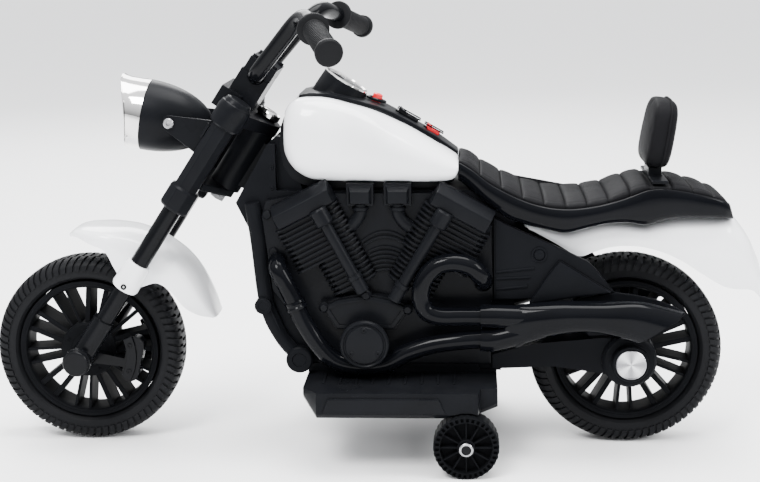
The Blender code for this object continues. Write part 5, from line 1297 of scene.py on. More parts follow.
@dataclass
class Handlebar:
    """The swept bar and its ribbed grips."""

    radius: float = 0.0094
    corners: Table = (
        (-0.033, 0.0, 0.39), (-0.033, 0.0535, 0.39), (-0.022, 0.088, 0.4835), (0.0318, 0.23, 0.479))
    low_bend: float = 0.02
    high_bend: float = 0.026
    grip: float = 0.092
    ribs: int = 17

    def corner(self, index: int, side: int) -> Vector:
        """Return one of the bar's corner points, counted from its middle, in the steering's frame."""
        back, out, up = self.corners[index]
        return Vector((back, side * out, up))

    def build(self) -> None:
        """Build and dress the bar and both grips."""
        path = []
        for side in (-1, 1):
            arm = [self.corner(0, side), self.corner(1, side) - Vector((0, side * self.low_bend, 0))]
            arm += self.bend(1, side, self.low_bend) + self.bend(2, side, self.high_bend)
            arm += [self.corner(3, side) + (self.corner(2, side) - self.corner(3, side)).normalized() * 0.004]
            path = arm[::-1] if side < 0 else path + arm[1:]
        bar = put(tube(path, self.radius, 8), STEERING_TURN)
        dressed(bar, "swept_bar", PAINTED, "handlebar")
        for label, side in SIDES:
            tip, elbow = self.corner(3, side), self.corner(2, side)
            start = tip + (elbow - tip).normalized() * self.grip
            grip = put(self.ribbed(), STEERING_TURN @ towards(start, tip))
            dressed(grip, "ribbed_" + label, RUBBER, "grip_" + label)

    def bend(self, index: int, side: int, reach: float) -> list[Vector]:
        """Return the rounded stretch round one corner.

        Args:
            index: which corner.
            side: which side of the bar.
            reach: how far from the corner the bend starts.

        Returns:
            Points from its start to its end.
        """
        before, here, after = (self.corner(index + step, side) for step in (-1, 0, 1))
        start = here + (before - here).normalized() * reach
        end = here + (after - here).normalized() * reach
        shares = [step / 10 for step in range(11)]
        return [start * (1 - t) ** 2 + here * 2 * t * (1 - t) + end * t * t for t in shares]

    def ribbed(self) -> Piece:
        """Return a grip along +Z with a flange, rings and a rounded end.

        Returns:
            The grip.
        """
        rings = [(-0.0004, 0.0102), (0.0, 0.016), (0.0012, 0.0174), (0.0042, 0.0174), (0.0056, 0.016),
                 (0.0072, 0.012)]
        pitch = (self.grip - 0.02) / self.ribs
        for rib in range(self.ribs):
            start = 0.009 + rib * pitch
            rings += [(start, 0.0112), (start + 0.25 * pitch, 0.0123), (start + 0.7 * pitch, 0.0123),
                      (start + 0.92 * pitch, 0.0112)]
        rings += [(self.grip - 0.009, 0.012), (self.grip - 0.0075, 0.0142), (self.grip - 0.003, 0.0146),
                  (self.grip - 0.0008, 0.0132), (self.grip, 0.0105), (self.grip, 0.0)]
        return turned(rings, 40)


@dataclass
class Fender:
    """A fender: an arched skin round a wheel, with its wall."""

    centre: Vector
    stations: Table
    half_width: float
    wall: float = 0.0024

    def skin(self) -> Piece:
        """Return the fender: its arched section moved through the stations, then given its wall.

        Returns:
            The fender.
        """
        arch = [(1.0, 1.0), (1.0, 0.55), (0.9, 0.22), (0.54, 0.03), (0.0, 0.0)]
        arch += [(-across, down) for across, down in arch[-2::-1]]
        section = smooth_line([(across, down, 0.0) for across, down in arch], 5)
        first, last = self.stations[0][0], self.stations[-1][0]

        def place(u: float, v: float) -> Vector:
            """Return the skin's point at u along the fender and v across it.

            Args:
                u: the share along it, from 0 to 1.
                v: the share across it, from 0 to 1.

            Returns:
                The point.
            """
            turn = first + (last - first) * u
            crest, skirt, share = (read(self.stations, turn, column) for column in (1, 2, 3))
            across, down, _ = section[min(len(section) - 1, round(v * (len(section) - 1)))]
            out = crest + (skirt - crest) * down
            return self.centre + Vector((cos(radians(turn)) * out, across * share * self.half_width,
                                         sin(radians(turn)) * out))

        obj = moulded((84, len(section) - 1), place)
        walled(obj, self.centre, self.wall)
        return bevelled(obj, 0.0006, 50.0)


@dataclass
class Fenders:
    """Both fenders and the front one's leg clamps."""

    front: Table = (
        (14.6, 0.162, 0.1565, 0.5), (18.0, 0.162, 0.144, 0.68), (25.0, 0.1622, 0.1335, 0.86),
        (36.0, 0.1635, 0.1315, 0.97), (44.0, 0.1638, 0.1255, 1.0), (49.0, 0.1635, 0.109, 1.0),
        (58.0, 0.1618, 0.1015, 1.0), (68.0, 0.158, 0.113, 1.0), (76.0, 0.1535, 0.1295, 1.0),
        (84.0, 0.1506, 0.133, 0.9), (93.0, 0.1475, 0.1395, 0.62), (97.2, 0.1415, 0.1375, 0.3))
    tail: Table = (
        (0.413, 0.2722), (0.419, 0.2665), (0.4345, 0.2447), (0.4412, 0.23), (0.4455, 0.2197), (0.449, 0.208),
        (0.452, 0.196), (0.453, 0.18))
    skirt: Table = (
        (-128.5, 0.196), (-124.0, 0.168), (-120.0, 0.148), (-116.0, 0.133), (-97.0, 0.1315), (-85.0, 0.1305),
        (-74.0, 0.1288), (-60.0, 0.1271), (-49.5, 0.1273), (-39.7, 0.1325), (-34.0, 0.1402), (-30.5, 0.1513),
        (-28.0, 0.16), (-23.0, 0.165))
    rear_width: Table = (
        (-130.0, 0.96), (-100.0, 1.0), (-60.0, 1.0), (-45.0, 0.92), (-35.0, 0.8), (-22.0, 0.55))

    def build(self) -> None:
        """Build and dress both fenders."""
        front = Fender(FRONT_AXLE, self.front, 0.0465).skin()
        clamps = []
        for _, side in SIDES:
            clamp = turned([(0.1015, 0.0108), (0.1015, 0.015), (0.1045, 0.0162), (0.133, 0.0146),
                            (0.1365, 0.013), (0.1365, 0.0108)], 36, closed=True)
            clamps.append(put(clamp, fork_place(side)))
            place = fork_place(side) @ shift(0, side * 0.0152, 0.1072)
            bolt = screw(place @ spin(-side * pi / 2, "X"), 0.0034, 0.0022)
            dressed(bolt, f"clamp_screw_{side + 1}", PAINTED, body="steering")
        dressed(joined([front] + clamps), "fender_front", WHITE, "front_fender")
        rear = Fender(REAR_AXLE, self.rear_stations(), 0.05).skin()
        dressed(rear, "fender_rear", WHITE, "rear_fender")

    def rear_stations(self) -> list[Row]:
        """Return the rear fender's stations: its crest follows the seat base, then drops to the tail.

        Returns:
            The stations, by their turn round the wheel.
        """
        crest = [(x, z - 0.0006) for x, z in Saddle.low if 0.16 < x < 0.41] + list(self.tail)
        rows = []
        for x, z in crest:
            turn = degrees(atan2(z - REAR_AXLE.z, x - REAR_AXLE.x))
            rows.append((turn, hypot(x - REAR_AXLE.x, z - REAR_AXLE.z), read(self.skirt, -turn),
                         read(self.rear_width, -turn)))
        return sorted(rows)


@dataclass
class Tank:
    """The white tank covers, the console with its dial, and the switches."""

    top: Table = (
        (-0.095, 0.3885), (-0.0935, 0.3985), (-0.088, 0.4075), (-0.079, 0.413), (-0.065, 0.4146),
        (-0.045, 0.4135), (-0.016, 0.4058), (0.01, 0.3966), (0.029, 0.3872), (0.0477, 0.3773),
        (0.0765, 0.3603), (0.092, 0.3505), (0.0995, 0.3452), (0.1015, 0.3425))
    bottom: Table = (
        (-0.095, 0.354), (-0.0935, 0.3495), (-0.088, 0.3392), (-0.079, 0.33), (-0.065, 0.3228),
        (-0.045, 0.3203), (0.037, 0.319), (0.085, 0.319), (0.094, 0.3208), (0.0995, 0.3248), (0.1015, 0.3305))
    console_edge: Table = (
        (-0.095, 0.042), (-0.085, 0.0425), (-0.068, 0.0446), (-0.02, 0.0446), (0.005, 0.0356), (0.03, 0.0236),
        (0.048, 0.0211), (0.1015, 0.0205))
    half_width: float = 0.079
    core_half: float = 0.0452
    waist: float = 0.4
    wall: float = 0.0024
    dial_centre: Vector = Vector((-0.0272, 0.0, 0.4276))
    dial_tilt: float = radians(31.8)
    dial_radius: float = 0.0262
    deck_up: Vector = Vector((0.5, 0.0, 0.866))
    horn_half: float = 0.0078
    horn_oval: float = 1.25
    direction_rim: Row = (0.03, 0.0175)
    power_rim: Row = (0.0246, 0.0164)

    def build(self) -> None:
        """Build and dress the covers, console, dial and switches."""
        for label, side in SIDES:
            dressed(self.cover(side), "tank_shell_" + label, WHITE, "tank_cover_" + label)
        dressed(softened("console", 0.0008), "console_deck", SATIN, "console")
        dressed(softened("tank_core", 0.001), "tank_middle", SATIN, "tank_core")
        self.dial()
        self.switches()

    def bulge(self, x: float) -> float:
        """Return the cover's half width at a place along it: round at its front, slimmer behind.

        Args:
            x: the place along it.

        Returns:
            The half width.
        """
        ahead = min(1.0, max(0.0, (x + 0.0955) / 0.04))
        behind = min(1.0, max(0.0, (0.1018 - x) / 0.12))
        round_front = (1 - (1 - ahead) ** 2.6) ** (1 / 2.2)
        round_rear = 0.6 + 0.4 * (1 - (1 - behind) ** 2.4) ** (1 / 1.8)
        return (self.core_half + 0.0006
                + (self.half_width - self.core_half - 0.0006) * round_front * round_rear)

    def cover(self, side: int) -> Piece:
        """Return one cover: a skin from its tucked-in foot round its flank to the console's edge.

        Args:
            side: -1 for the rider's left, 1 for the right.

        Returns:
            The cover.
        """
        first, last = self.top[0][0], self.top[-1][0]

        def place(u: float, v: float) -> tuple[float, float, float]:
            """Return the skin's point at u along the tank and v up it.

            Args:
                u: the share along it, from 0 to 1.
                v: the share up it, from 0 to 1.

            Returns:
                The point.
            """
            x = first + (last - first) * (0.5 - 0.5 * cos(pi * u))
            low, high = read(self.bottom, x), read(self.top, x)
            widest = self.bulge(x)
            waist = low + self.waist * (high - low)
            if v < self.waist:
                turn = pi / 2 * v / self.waist
                foot = self.core_half + 0.0002
                return (x, side * (foot + (widest - foot) * power(sin(turn), 0.72)),
                        waist - (waist - low) * power(cos(turn), 0.8))
            turn = pi / 2 * (v - self.waist) / (1 - self.waist)
            edge = min(read(self.console_edge, x), widest - 0.001)
            return (x, side * (edge + (widest - edge) * power(cos(turn), 0.78)),
                    waist + (high - waist) * power(sin(turn), 0.86))

        obj = moulded((72, 44), place)
        walled(obj, (0.0, 0.0, 0.35), self.wall)
        return bevelled(obj, 0.0006, 55.0)

    def dial(self) -> None:
        """Build and dress the dial's ring, face, print, needle and glass."""
        right, up = Vector((0, 1, 0)), Vector((-cos(self.dial_tilt), 0, sin(self.dial_tilt)))
        normal = right.cross(up)
        place = Matrix((right, up, normal)).transposed().to_4x4()
        place.translation = self.dial_centre
        radius = self.dial_radius
        ring = turned([(-0.0026, radius + 0.0004), (0.0006, radius + 0.0013), (0.002, radius + 0.0006),
                       (0.0024, radius - 0.0012), (0.0012, radius - 0.0032), (-0.001, radius - 0.0034),
                       (-0.0026, radius - 0.003)], 72, closed=True)
        face = turned([(-0.0024, radius - 0.0028), (-0.0014, radius - 0.0028), (-0.0012, radius - 0.0034),
                       (-0.0014, 0.0)], 64)
        glass = turned([(0.0006, radius - 0.0031), (0.001, radius - 0.0031), (0.0016, radius * 0.6),
                        (0.0019, 0.0)], 64)
        hub = turned([(-0.0014, 0.0026), (-0.0004, 0.0026), (0.0, 0.0018), (0.0, 0.0)], 24)
        needle = extruded([(-0.0007, -0.004), (0.0007, -0.004), (0.0003, 0.015), (-0.0003, 0.015)],
                          -0.0011, -0.0006, upright=False)
        put(needle, spin(radians(118), "Z"))
        ticks = []
        for step in range(13):
            turn = radians(210 - 20 * step)
            long = step % 2 == 0
            tick = block((radius - (0.0078 if long else 0.0064), -0.00035, -0.00125),
                         (radius - 0.0046, 0.00035, -0.0009))
            ticks.append(put(tick, spin(turn, "Z")))
        for step in range(0, 13, 2):
            ticks.append(self.number(str(step * 5), radians(210 - 20 * step)))
        pieces = ((ring, "dial_ring", CHROME, ""), (face, "dial_plate", DIAL, "speed_dial"),
                  (joined(ticks), "dial_scale", PRINT, ""), (joined([hub, needle]), "dial_needle", RED, ""),
                  (glass, "dial_glass", CLEAR, ""))
        for obj, name, finish, node in pieces:
            dressed(put(obj, place), name, finish, node, body="frame")

    def number(self, text: str, turn: float) -> Piece:
        """Return one plain number of the dial's scale.

        Args:
            text: the number.
            turn: its place round the dial.

        Returns:
            The number as a mesh.
        """
        clear_selection()
        bpy.ops.object.text_add()
        obj = bpy.context.active_object
        obj.data.body = text
        obj.data.size = 0.0048
        obj.data.extrude = 0.00015
        obj.data.align_x, obj.data.align_y = "CENTER", "CENTER"
        alone(obj)
        bpy.ops.object.convert(target="MESH")
        obj = bpy.context.active_object
        out = self.dial_radius - 0.011
        return close_seams(put(obj, shift(cos(turn) * out, sin(turn) * out, -0.0011)))

    def switches(self) -> None:
        """Build and dress the horn button, both rockers and the rims round all three."""
        middle, up = middle_of("horn_button"), -Vector(joint("horn_button_press")["axis"])
        half = self.horn_half
        button = turned([(-0.0069, 0.0052), (half - 0.0022, 0.0058), (half - 0.0008, 0.0054), (half, 0.004),
                         (half + 0.0003, 0.0)], 40)
        dressed(put(button, towards(middle, middle + up)), "horn_push", RED, "horn_button")
        rim = turned([(-0.0012, 0.0064), (-0.0012, 0.0098), (0.0012, 0.0094), (0.0022, 0.0078),
                      (0.0018, 0.0064)], 48, closed=True)
        oval = Matrix.Diagonal((self.horn_oval, 1, 1, 1))
        rims = [put(rim, towards(middle + up * 0.0006, middle + up) @ oval)]
        for node, finish, size in (("direction_switch", GLOSS, self.direction_rim),
                                   ("power_switch", RED, self.power_rim)):
            dressed(softened(node, 0.0006), node.replace("switch", "rocker"), finish, node)
            rim = turned([(0.0, 0.65), (0.0, 0.72), (0.0014, 0.7), (0.0016, 0.67), (0.0008, 0.65)], 4,
                         closed=True)
            lay = spin(atan2(self.deck_up.x, self.deck_up.z), "Y") @ Matrix.Diagonal((*size, 1, 1))
            place = Matrix.Translation(middle_of(node) + self.deck_up * 0.0008)
            rims.append(put(rim, place @ lay @ spin(pi / 4, "Z")))
        dressed(joined(rims), "switch_rims", GLOSS, body="frame")


@dataclass
class Cylinder:
    """One finned dummy cylinder, leaning forwards or back."""

    head: Row
    lean: float
    upper: Row
    lower: Row
    rod_top: Row
    rod_foot: Row
    first: float = 0.0145
    pitch: float = 0.0058
    thickness: float = 0.0028
    fins: int = 17
    waist: float = 0.068
    foot: float = 0.112
    core_inset: float = 0.0034
    depth: float = 0.017
    rod_out: float = 0.0068

    def place(self) -> Matrix:
        """Return the cylinder's own frame: +X across, +Z up its axis."""
        return shift(self.head[0], 0.0, self.head[1]) @ spin(self.lean, "Y")

    def section(self, span: Row, side: int, shrink: float) -> list[Row]:
        """Return a fin's outline in plan.

        Args:
            span: its two ends across.
            side: which side of the engine.
            shrink: how far it is drawn in.

        Returns:
            The outline's corners.
        """
        low, high = span[0] + shrink, span[1] - shrink
        out = ENGINE_FACE + self.depth - shrink
        cut = 0.0065
        points = [(low, 0.056), (low, out - cut), (low + cut, out), (high - cut, out), (high, out - cut),
                  (high, 0.056)]
        return [(x, side * y) for x, y in points]

    def build(self, side: int) -> list[Piece]:
        """Return the cylinder's shapes: fins, core and rocker box in one, and the pushrod tube.

        Args:
            side: -1 for the rider's left, 1 for the right.

        Returns:
            The two shapes.
        """
        parts = []
        for index in range(self.fins):
            down = self.first + index * self.pitch
            span = self.upper if down < self.waist else self.lower
            parts.append(extruded(self.section(span, side, 0.0), -down - self.thickness, -down, 0.0006,
                                  upright=False))
        for span, start, end in ((self.upper, 0.004, self.waist), (self.lower, self.waist, self.foot)):
            parts.append(extruded(self.section(span, side, self.core_inset), -end, -start, upright=False))
        parts.append(self.rocker_box(side))
        obj = put(joined(parts), self.place())
        y = side * (ENGINE_FACE + self.depth + self.rod_out)
        start, end = (self.rod_top[0], y, self.rod_top[1]), (self.rod_foot[0], y, self.rod_foot[1])
        length = (Vector(end) - Vector(start)).length
        rod = turned([(-0.006, 0.009), (-0.004, 0.0104), (0.012, 0.0104), (0.014, 0.009), (0.0145, 0.0066),
                      (length - 0.022, 0.0066), (length - 0.0215, 0.0088), (length - 0.017, 0.0088),
                      (length - 0.0165, 0.0078), (length, 0.0078)], 32)
        return [obj, put(rod, towards(start, end))]

    def rocker_box(self, side: int) -> Piece:
        """Return the cylinder's rocker box with its chamfered roof and drawn-in ends.

        Args:
            side: -1 for the rider's left, 1 for the right.

        Returns:
            The box, in the cylinder's own frame.
        """
        profile = [(0.0575, 0.0125), (0.07, 0.0125), (0.0868, 0.003), (0.0868, -0.012), (0.084, -0.014),
                   (0.0575, -0.014)]
        box = extruded(profile, -0.0375, 0.0375)
        for vertex in box.data.vertices:
            if vertex.co.x > 0.08:
                vertex.co.y *= 0.93
            elif vertex.co.z > 0.0:
                vertex.co.y *= 0.955
        return bevelled(put(box, spin(side * pi / 2, "Z")), 0.0016)


@dataclass
class Engine:
    """The dummy V engine on both sides of the body, with its round covers and the exhaust."""

    plate: Table = (
        (-0.1165, 0.299), (-0.1215, 0.28), (-0.1115, 0.195), (-0.078, 0.15), (-0.064, 0.13), (-0.06, 0.108),
        (0.1385, 0.108), (0.1385, 0.18), (0.141, 0.184), (0.139, 0.28), (0.108, 0.307), (-0.07, 0.307))
    cam: Table = (
        (-0.053, 0.179), (-0.035, 0.1875), (-0.004, 0.192), (0.026, 0.1865), (0.045, 0.177), (0.028, 0.153),
        (-0.037, 0.153))
    cam_middle: Row = (-0.004, 0.17)
    cam_lip: Row = (1.06, 1.08)
    timing: Row = (-0.004, 0.141)
    studs: Table = ((-0.1155, 0.283), (-0.109, 0.24))
    posts: Table = ((-0.051, 0.1785), (-0.003, 0.1925), (0.044, 0.176))
    gills: Table = (
        (0.263, 0.027), (0.2572, 0.024), (0.2455, 0.0195), (0.2403, 0.018), (0.2351, 0.0165), (0.2299, 0.015),
        (0.2247, 0.0135), (0.2195, 0.012))

    def __post_init__(self) -> None:
        """Set out the two cylinders."""
        self.cylinders = (
            Cylinder((-0.074, 0.297), radians(-27), (-0.043, 0.037), (-0.018, 0.037), (-0.053, 0.288),
                     (-0.006, 0.199)),
            Cylinder((0.107, 0.293), radians(29), (-0.04, 0.043), (-0.036, 0.02), (0.085, 0.285),
                     (0.029, 0.189)))

    def build(self) -> None:
        """Build and dress the engine's two sides."""
        for label, side in SIDES:
            dressed(self.casing(side), "engine_" + label, SATIN, "engine_cover_" + label)
            dressed(self.round_cover(side), "round_cover_" + label, SATIN, "timing_cover_" + label)
            Exhaust(side).build(label)

    def casing(self, side: int) -> Piece:
        """Return one side's back plate with everything that stands on it.

        Args:
            side: -1 for the rider's left, 1 for the right.

        Returns:
            The casing.
        """
        parts = [extruded(self.plate, side * 0.0553, side * ENGINE_FACE, 0.001)]
        for cylinder in self.cylinders:
            parts += cylinder.build(side)
        cam = extruded(self.cam, side * 0.0594, side * 0.08, 0.0026)
        parts.append(pushed(cam, lambda centre, normal: normal.y * side > 0.99, -0.0018, inset=0.0028))
        (mid_x, mid_z), (long, high) = self.cam_middle, self.cam_lip
        lip = [(mid_x + (x - mid_x) * long, mid_z + (z - mid_z) * high) for x, z in self.cam]
        parts.append(extruded(lip, side * 0.0594, side * 0.075, 0.0012))
        stud = [(0.0, 0.0052), (0.002, 0.0052), (0.0032, 0.0042), (0.0032, 0.0026), (0.0026, 0.0)]
        post = [(0.0, 0.0062), (0.0185, 0.0062), (0.02, 0.005), (0.0225, 0.0036), (0.0225, 0.0)]
        hub = [(0.0, 0.0175), (0.026, 0.0165), (0.035, 0.016)]
        for profile, segments, out, places in ((stud, 24, 0.0615, self.studs), (post, 24, 0.06, self.posts),
                                               (hub, 40, 0.06, (self.timing,))):
            parts += [put(turned(profile, segments), on_axle((x, side * out, z), side)) for x, z in places]
        parts += [self.gill(side, top, half) for top, half in self.gills]
        for low_x, high_x in ((-0.024, 0.007), (0.018, 0.0495)):
            parts += self.intake(low_x, high_x, side)
        return joined(parts)

    def gill(self, side: int, top: float, half: float) -> Piece:
        """Return one of the curved ribs between the cylinders, from its top and half its width."""
        steps = [half * (2 * n / 12 - 1) for n in range(13)]
        return tube([(0.019 + step, side * 0.0632, top - step ** 2 / 0.062) for step in steps], 0.0017, 2)

    def intake(self, low_x: float, high_x: float, side: int) -> list[Piece]:
        """Return an intake box: its flange, its hood and the stub that curves out below it.

        Args:
            low_x: the box's front.
            high_x: its rear.
            side: which side of the engine.

        Returns:
            The three shapes.
        """
        low, high = 0.294, 0.3195
        flange = block((low_x, side * 0.0589, low), (high_x, side * 0.0712, high), 0.0016)
        hood = block((low_x + 0.0022, side * 0.07, low + 0.0022),
                     (high_x - 0.0022, side * 0.0782, high - 0.0016))
        middle = (low_x + high_x) / 2
        for vertex in hood.data.vertices:
            if abs(vertex.co.y) > 0.075:
                vertex.co.x = middle + (vertex.co.x - middle) * 0.78
                vertex.co.z -= 0.007 if vertex.co.z > 0.31 else -0.0015
        bevelled(hood, 0.0007)
        lean = -0.015 if middle < 0.02 else 0.015
        stub = tube(smooth_line([(middle, side * 0.067, 0.296), (middle, side * 0.0672, 0.286),
                                 (middle + lean * 0.35, side * 0.0668, 0.276),
                                 (middle + lean, side * 0.065, 0.267)], 5), 0.0072, 6)
        collar = turned([(0.0, 0.0084), (0.0006, 0.0092), (0.0036, 0.0092), (0.0042, 0.0084)], 32)
        return [flange, hood, stub, put(collar, shift(middle, side * 0.0671, 0.2885))]

    def round_cover(self, side: int) -> Piece:
        """Return the round cover with its stepped face, inner disc and three bosses.

        Args:
            side: -1 for the rider's left, 1 for the right.

        Returns:
            The cover.
        """
        cover = turned([(0.0, 0.0275), (0.005, 0.0278), (0.0072, 0.0264), (0.0076, 0.025), (0.007, 0.0238),
                        (0.0062, 0.0232), (0.0064, 0.0222), (0.0084, 0.0208), (0.0092, 0.013),
                        (0.0095, 0.0)], 72)
        bolt = screw(shift(0.0178, 0, 0.008), 0.003, 0.002)
        bolts = repeated(bolt, [spin(radians(90) + tau * n / 3, "Z") for n in range(3)])
        x, z = self.timing
        return put(joined([cover, bolts]), on_axle((x, side * 0.0973, z), side))


@dataclass
class Exhaust:
    """One side's two header pipes and the slash-cut muffler."""

    side: int
    pipe: float = 0.0106
    centre: float = 0.088
    half: float = 0.0175
    tapered_half: float = 0.52
    taper: float = 0.12
    sleeve: float = 0.0134
    front: Table = (
        (-0.1035, 0.0003, 0.229), (-0.1035, 0.011, 0.229), (-0.1012, 0.0205, 0.222), (-0.0935, 0.022, 0.2075),
        (-0.085, 0.022, 0.189), (-0.0755, 0.022, 0.1655), (-0.058, 0.022, 0.1365), (-0.04, 0.022, 0.1185),
        (-0.02, 0.022, 0.1118), (0.0, 0.022, 0.1112), (0.021, 0.022, 0.115), (0.043, 0.0225, 0.127),
        (0.07, 0.024, 0.1365), (0.1, 0.026, 0.142), (0.132, 0.026, 0.1445))
    rear: Table = (
        (0.1293, 0.0003, 0.2068), (0.1293, 0.012, 0.2068), (0.127, 0.0245, 0.216), (0.115, 0.0288, 0.2285),
        (0.0965, 0.0288, 0.233), (0.078, 0.0288, 0.229), (0.0645, 0.0288, 0.215), (0.0595, 0.0288, 0.195),
        (0.065, 0.0288, 0.178), (0.08, 0.0285, 0.1712), (0.104, 0.0275, 0.1708), (0.132, 0.026, 0.1705))
    muffler: Table = (
        (0.154, 0.15, 0.154, 0.166), (0.158, 0.14, 0.158, 0.176), (0.168, 0.1345, 0.168, 0.1835),
        (0.185, 0.1435, 0.185, 0.1855), (0.212, 0.15, 0.212, 0.188), (0.236, 0.1528, 0.236, 0.188),
        (0.258, 0.1518, 0.264, 0.1878), (0.284, 0.1456, 0.305, 0.188), (0.3, 0.1408, 0.351, 0.1762))

    def build(self, label: str) -> None:
        """Build and dress the exhaust.

        Args:
            label: left or right.
        """
        parts = [self.can()]
        for route in (self.front, self.rear):
            line = smooth_line([(x, self.side * (ENGINE_FACE + out), z) for x, out, z in route], 5)
            parts.append(tube(line, self.pipe, 10))
        collar = turned([(-0.006, 0.0106), (-0.0058, 0.0122), (-0.0034, 0.0126), (-0.002, 0.0116),
                         (0.0, 0.0114), (0.0016, 0.0126), (0.004, 0.0122), (0.0042, 0.0106)], 48)
        out = self.side * (ENGINE_FACE + 0.022)
        parts.append(put(collar, towards((-0.0822, out, 0.1822), (-0.0755, out, 0.1655))))
        for heights in ((0.1438, 0.1438, 0.149, 0.159), (0.1705, 0.1705, 0.1698, 0.169)):
            route = [(x, self.side * self.centre, z) for x, z in zip((0.1262, 0.14, 0.162, 0.196), heights)]
            parts.append(tube(smooth_line(route, 4), self.sleeve, 10))
        dressed(joined(parts), "pipes_" + label, GLOSS, "exhaust_" + label, smooth=40)

    def can(self) -> Piece:
        """Return the muffler, lofted through its stations, with its recessed mouth.

        Returns:
            The muffler.
        """
        rows = [(index, *row) for index, row in enumerate(self.muffler)]
        last = len(rows) - 1

        def place(u: float, v: float) -> tuple[float, float, float]:
            """Return the can's point at u along it and v round it.

            Args:
                u: the share along it, from 0 to 1.
                v: the share round it, from 0 to 1.

            Returns:
                The point.
            """
            low_x, low_z, high_x, high_z = (read(rows, u * last, column) for column in (1, 2, 3, 4))
            turn = tau * v
            share = (1 - power(cos(turn), 0.9)) / 2
            half = self.half * min(1.0, self.tapered_half + self.taper * u * last)
            y = self.side * (self.centre + half * power(sin(turn), 0.9))
            return low_x + (high_x - low_x) * share, y, low_z + (high_z - low_z) * share

        obj = moulded((48, 40), place, fill=True)
        mouth = max(obj.data.polygons, key=lambda face: face.area if face.center.x > 0.31 else 0.0).index
        edit_faces(obj, lambda face: face.index == mouth)
        bpy.ops.mesh.inset(thickness=0.0022, depth=0.0)
        bpy.ops.mesh.extrude_region_move(TRANSFORM_OT_translate={"value": (-0.024, 0.0, 0.0035)})
        bpy.ops.object.mode_set(mode="OBJECT")
        return obj


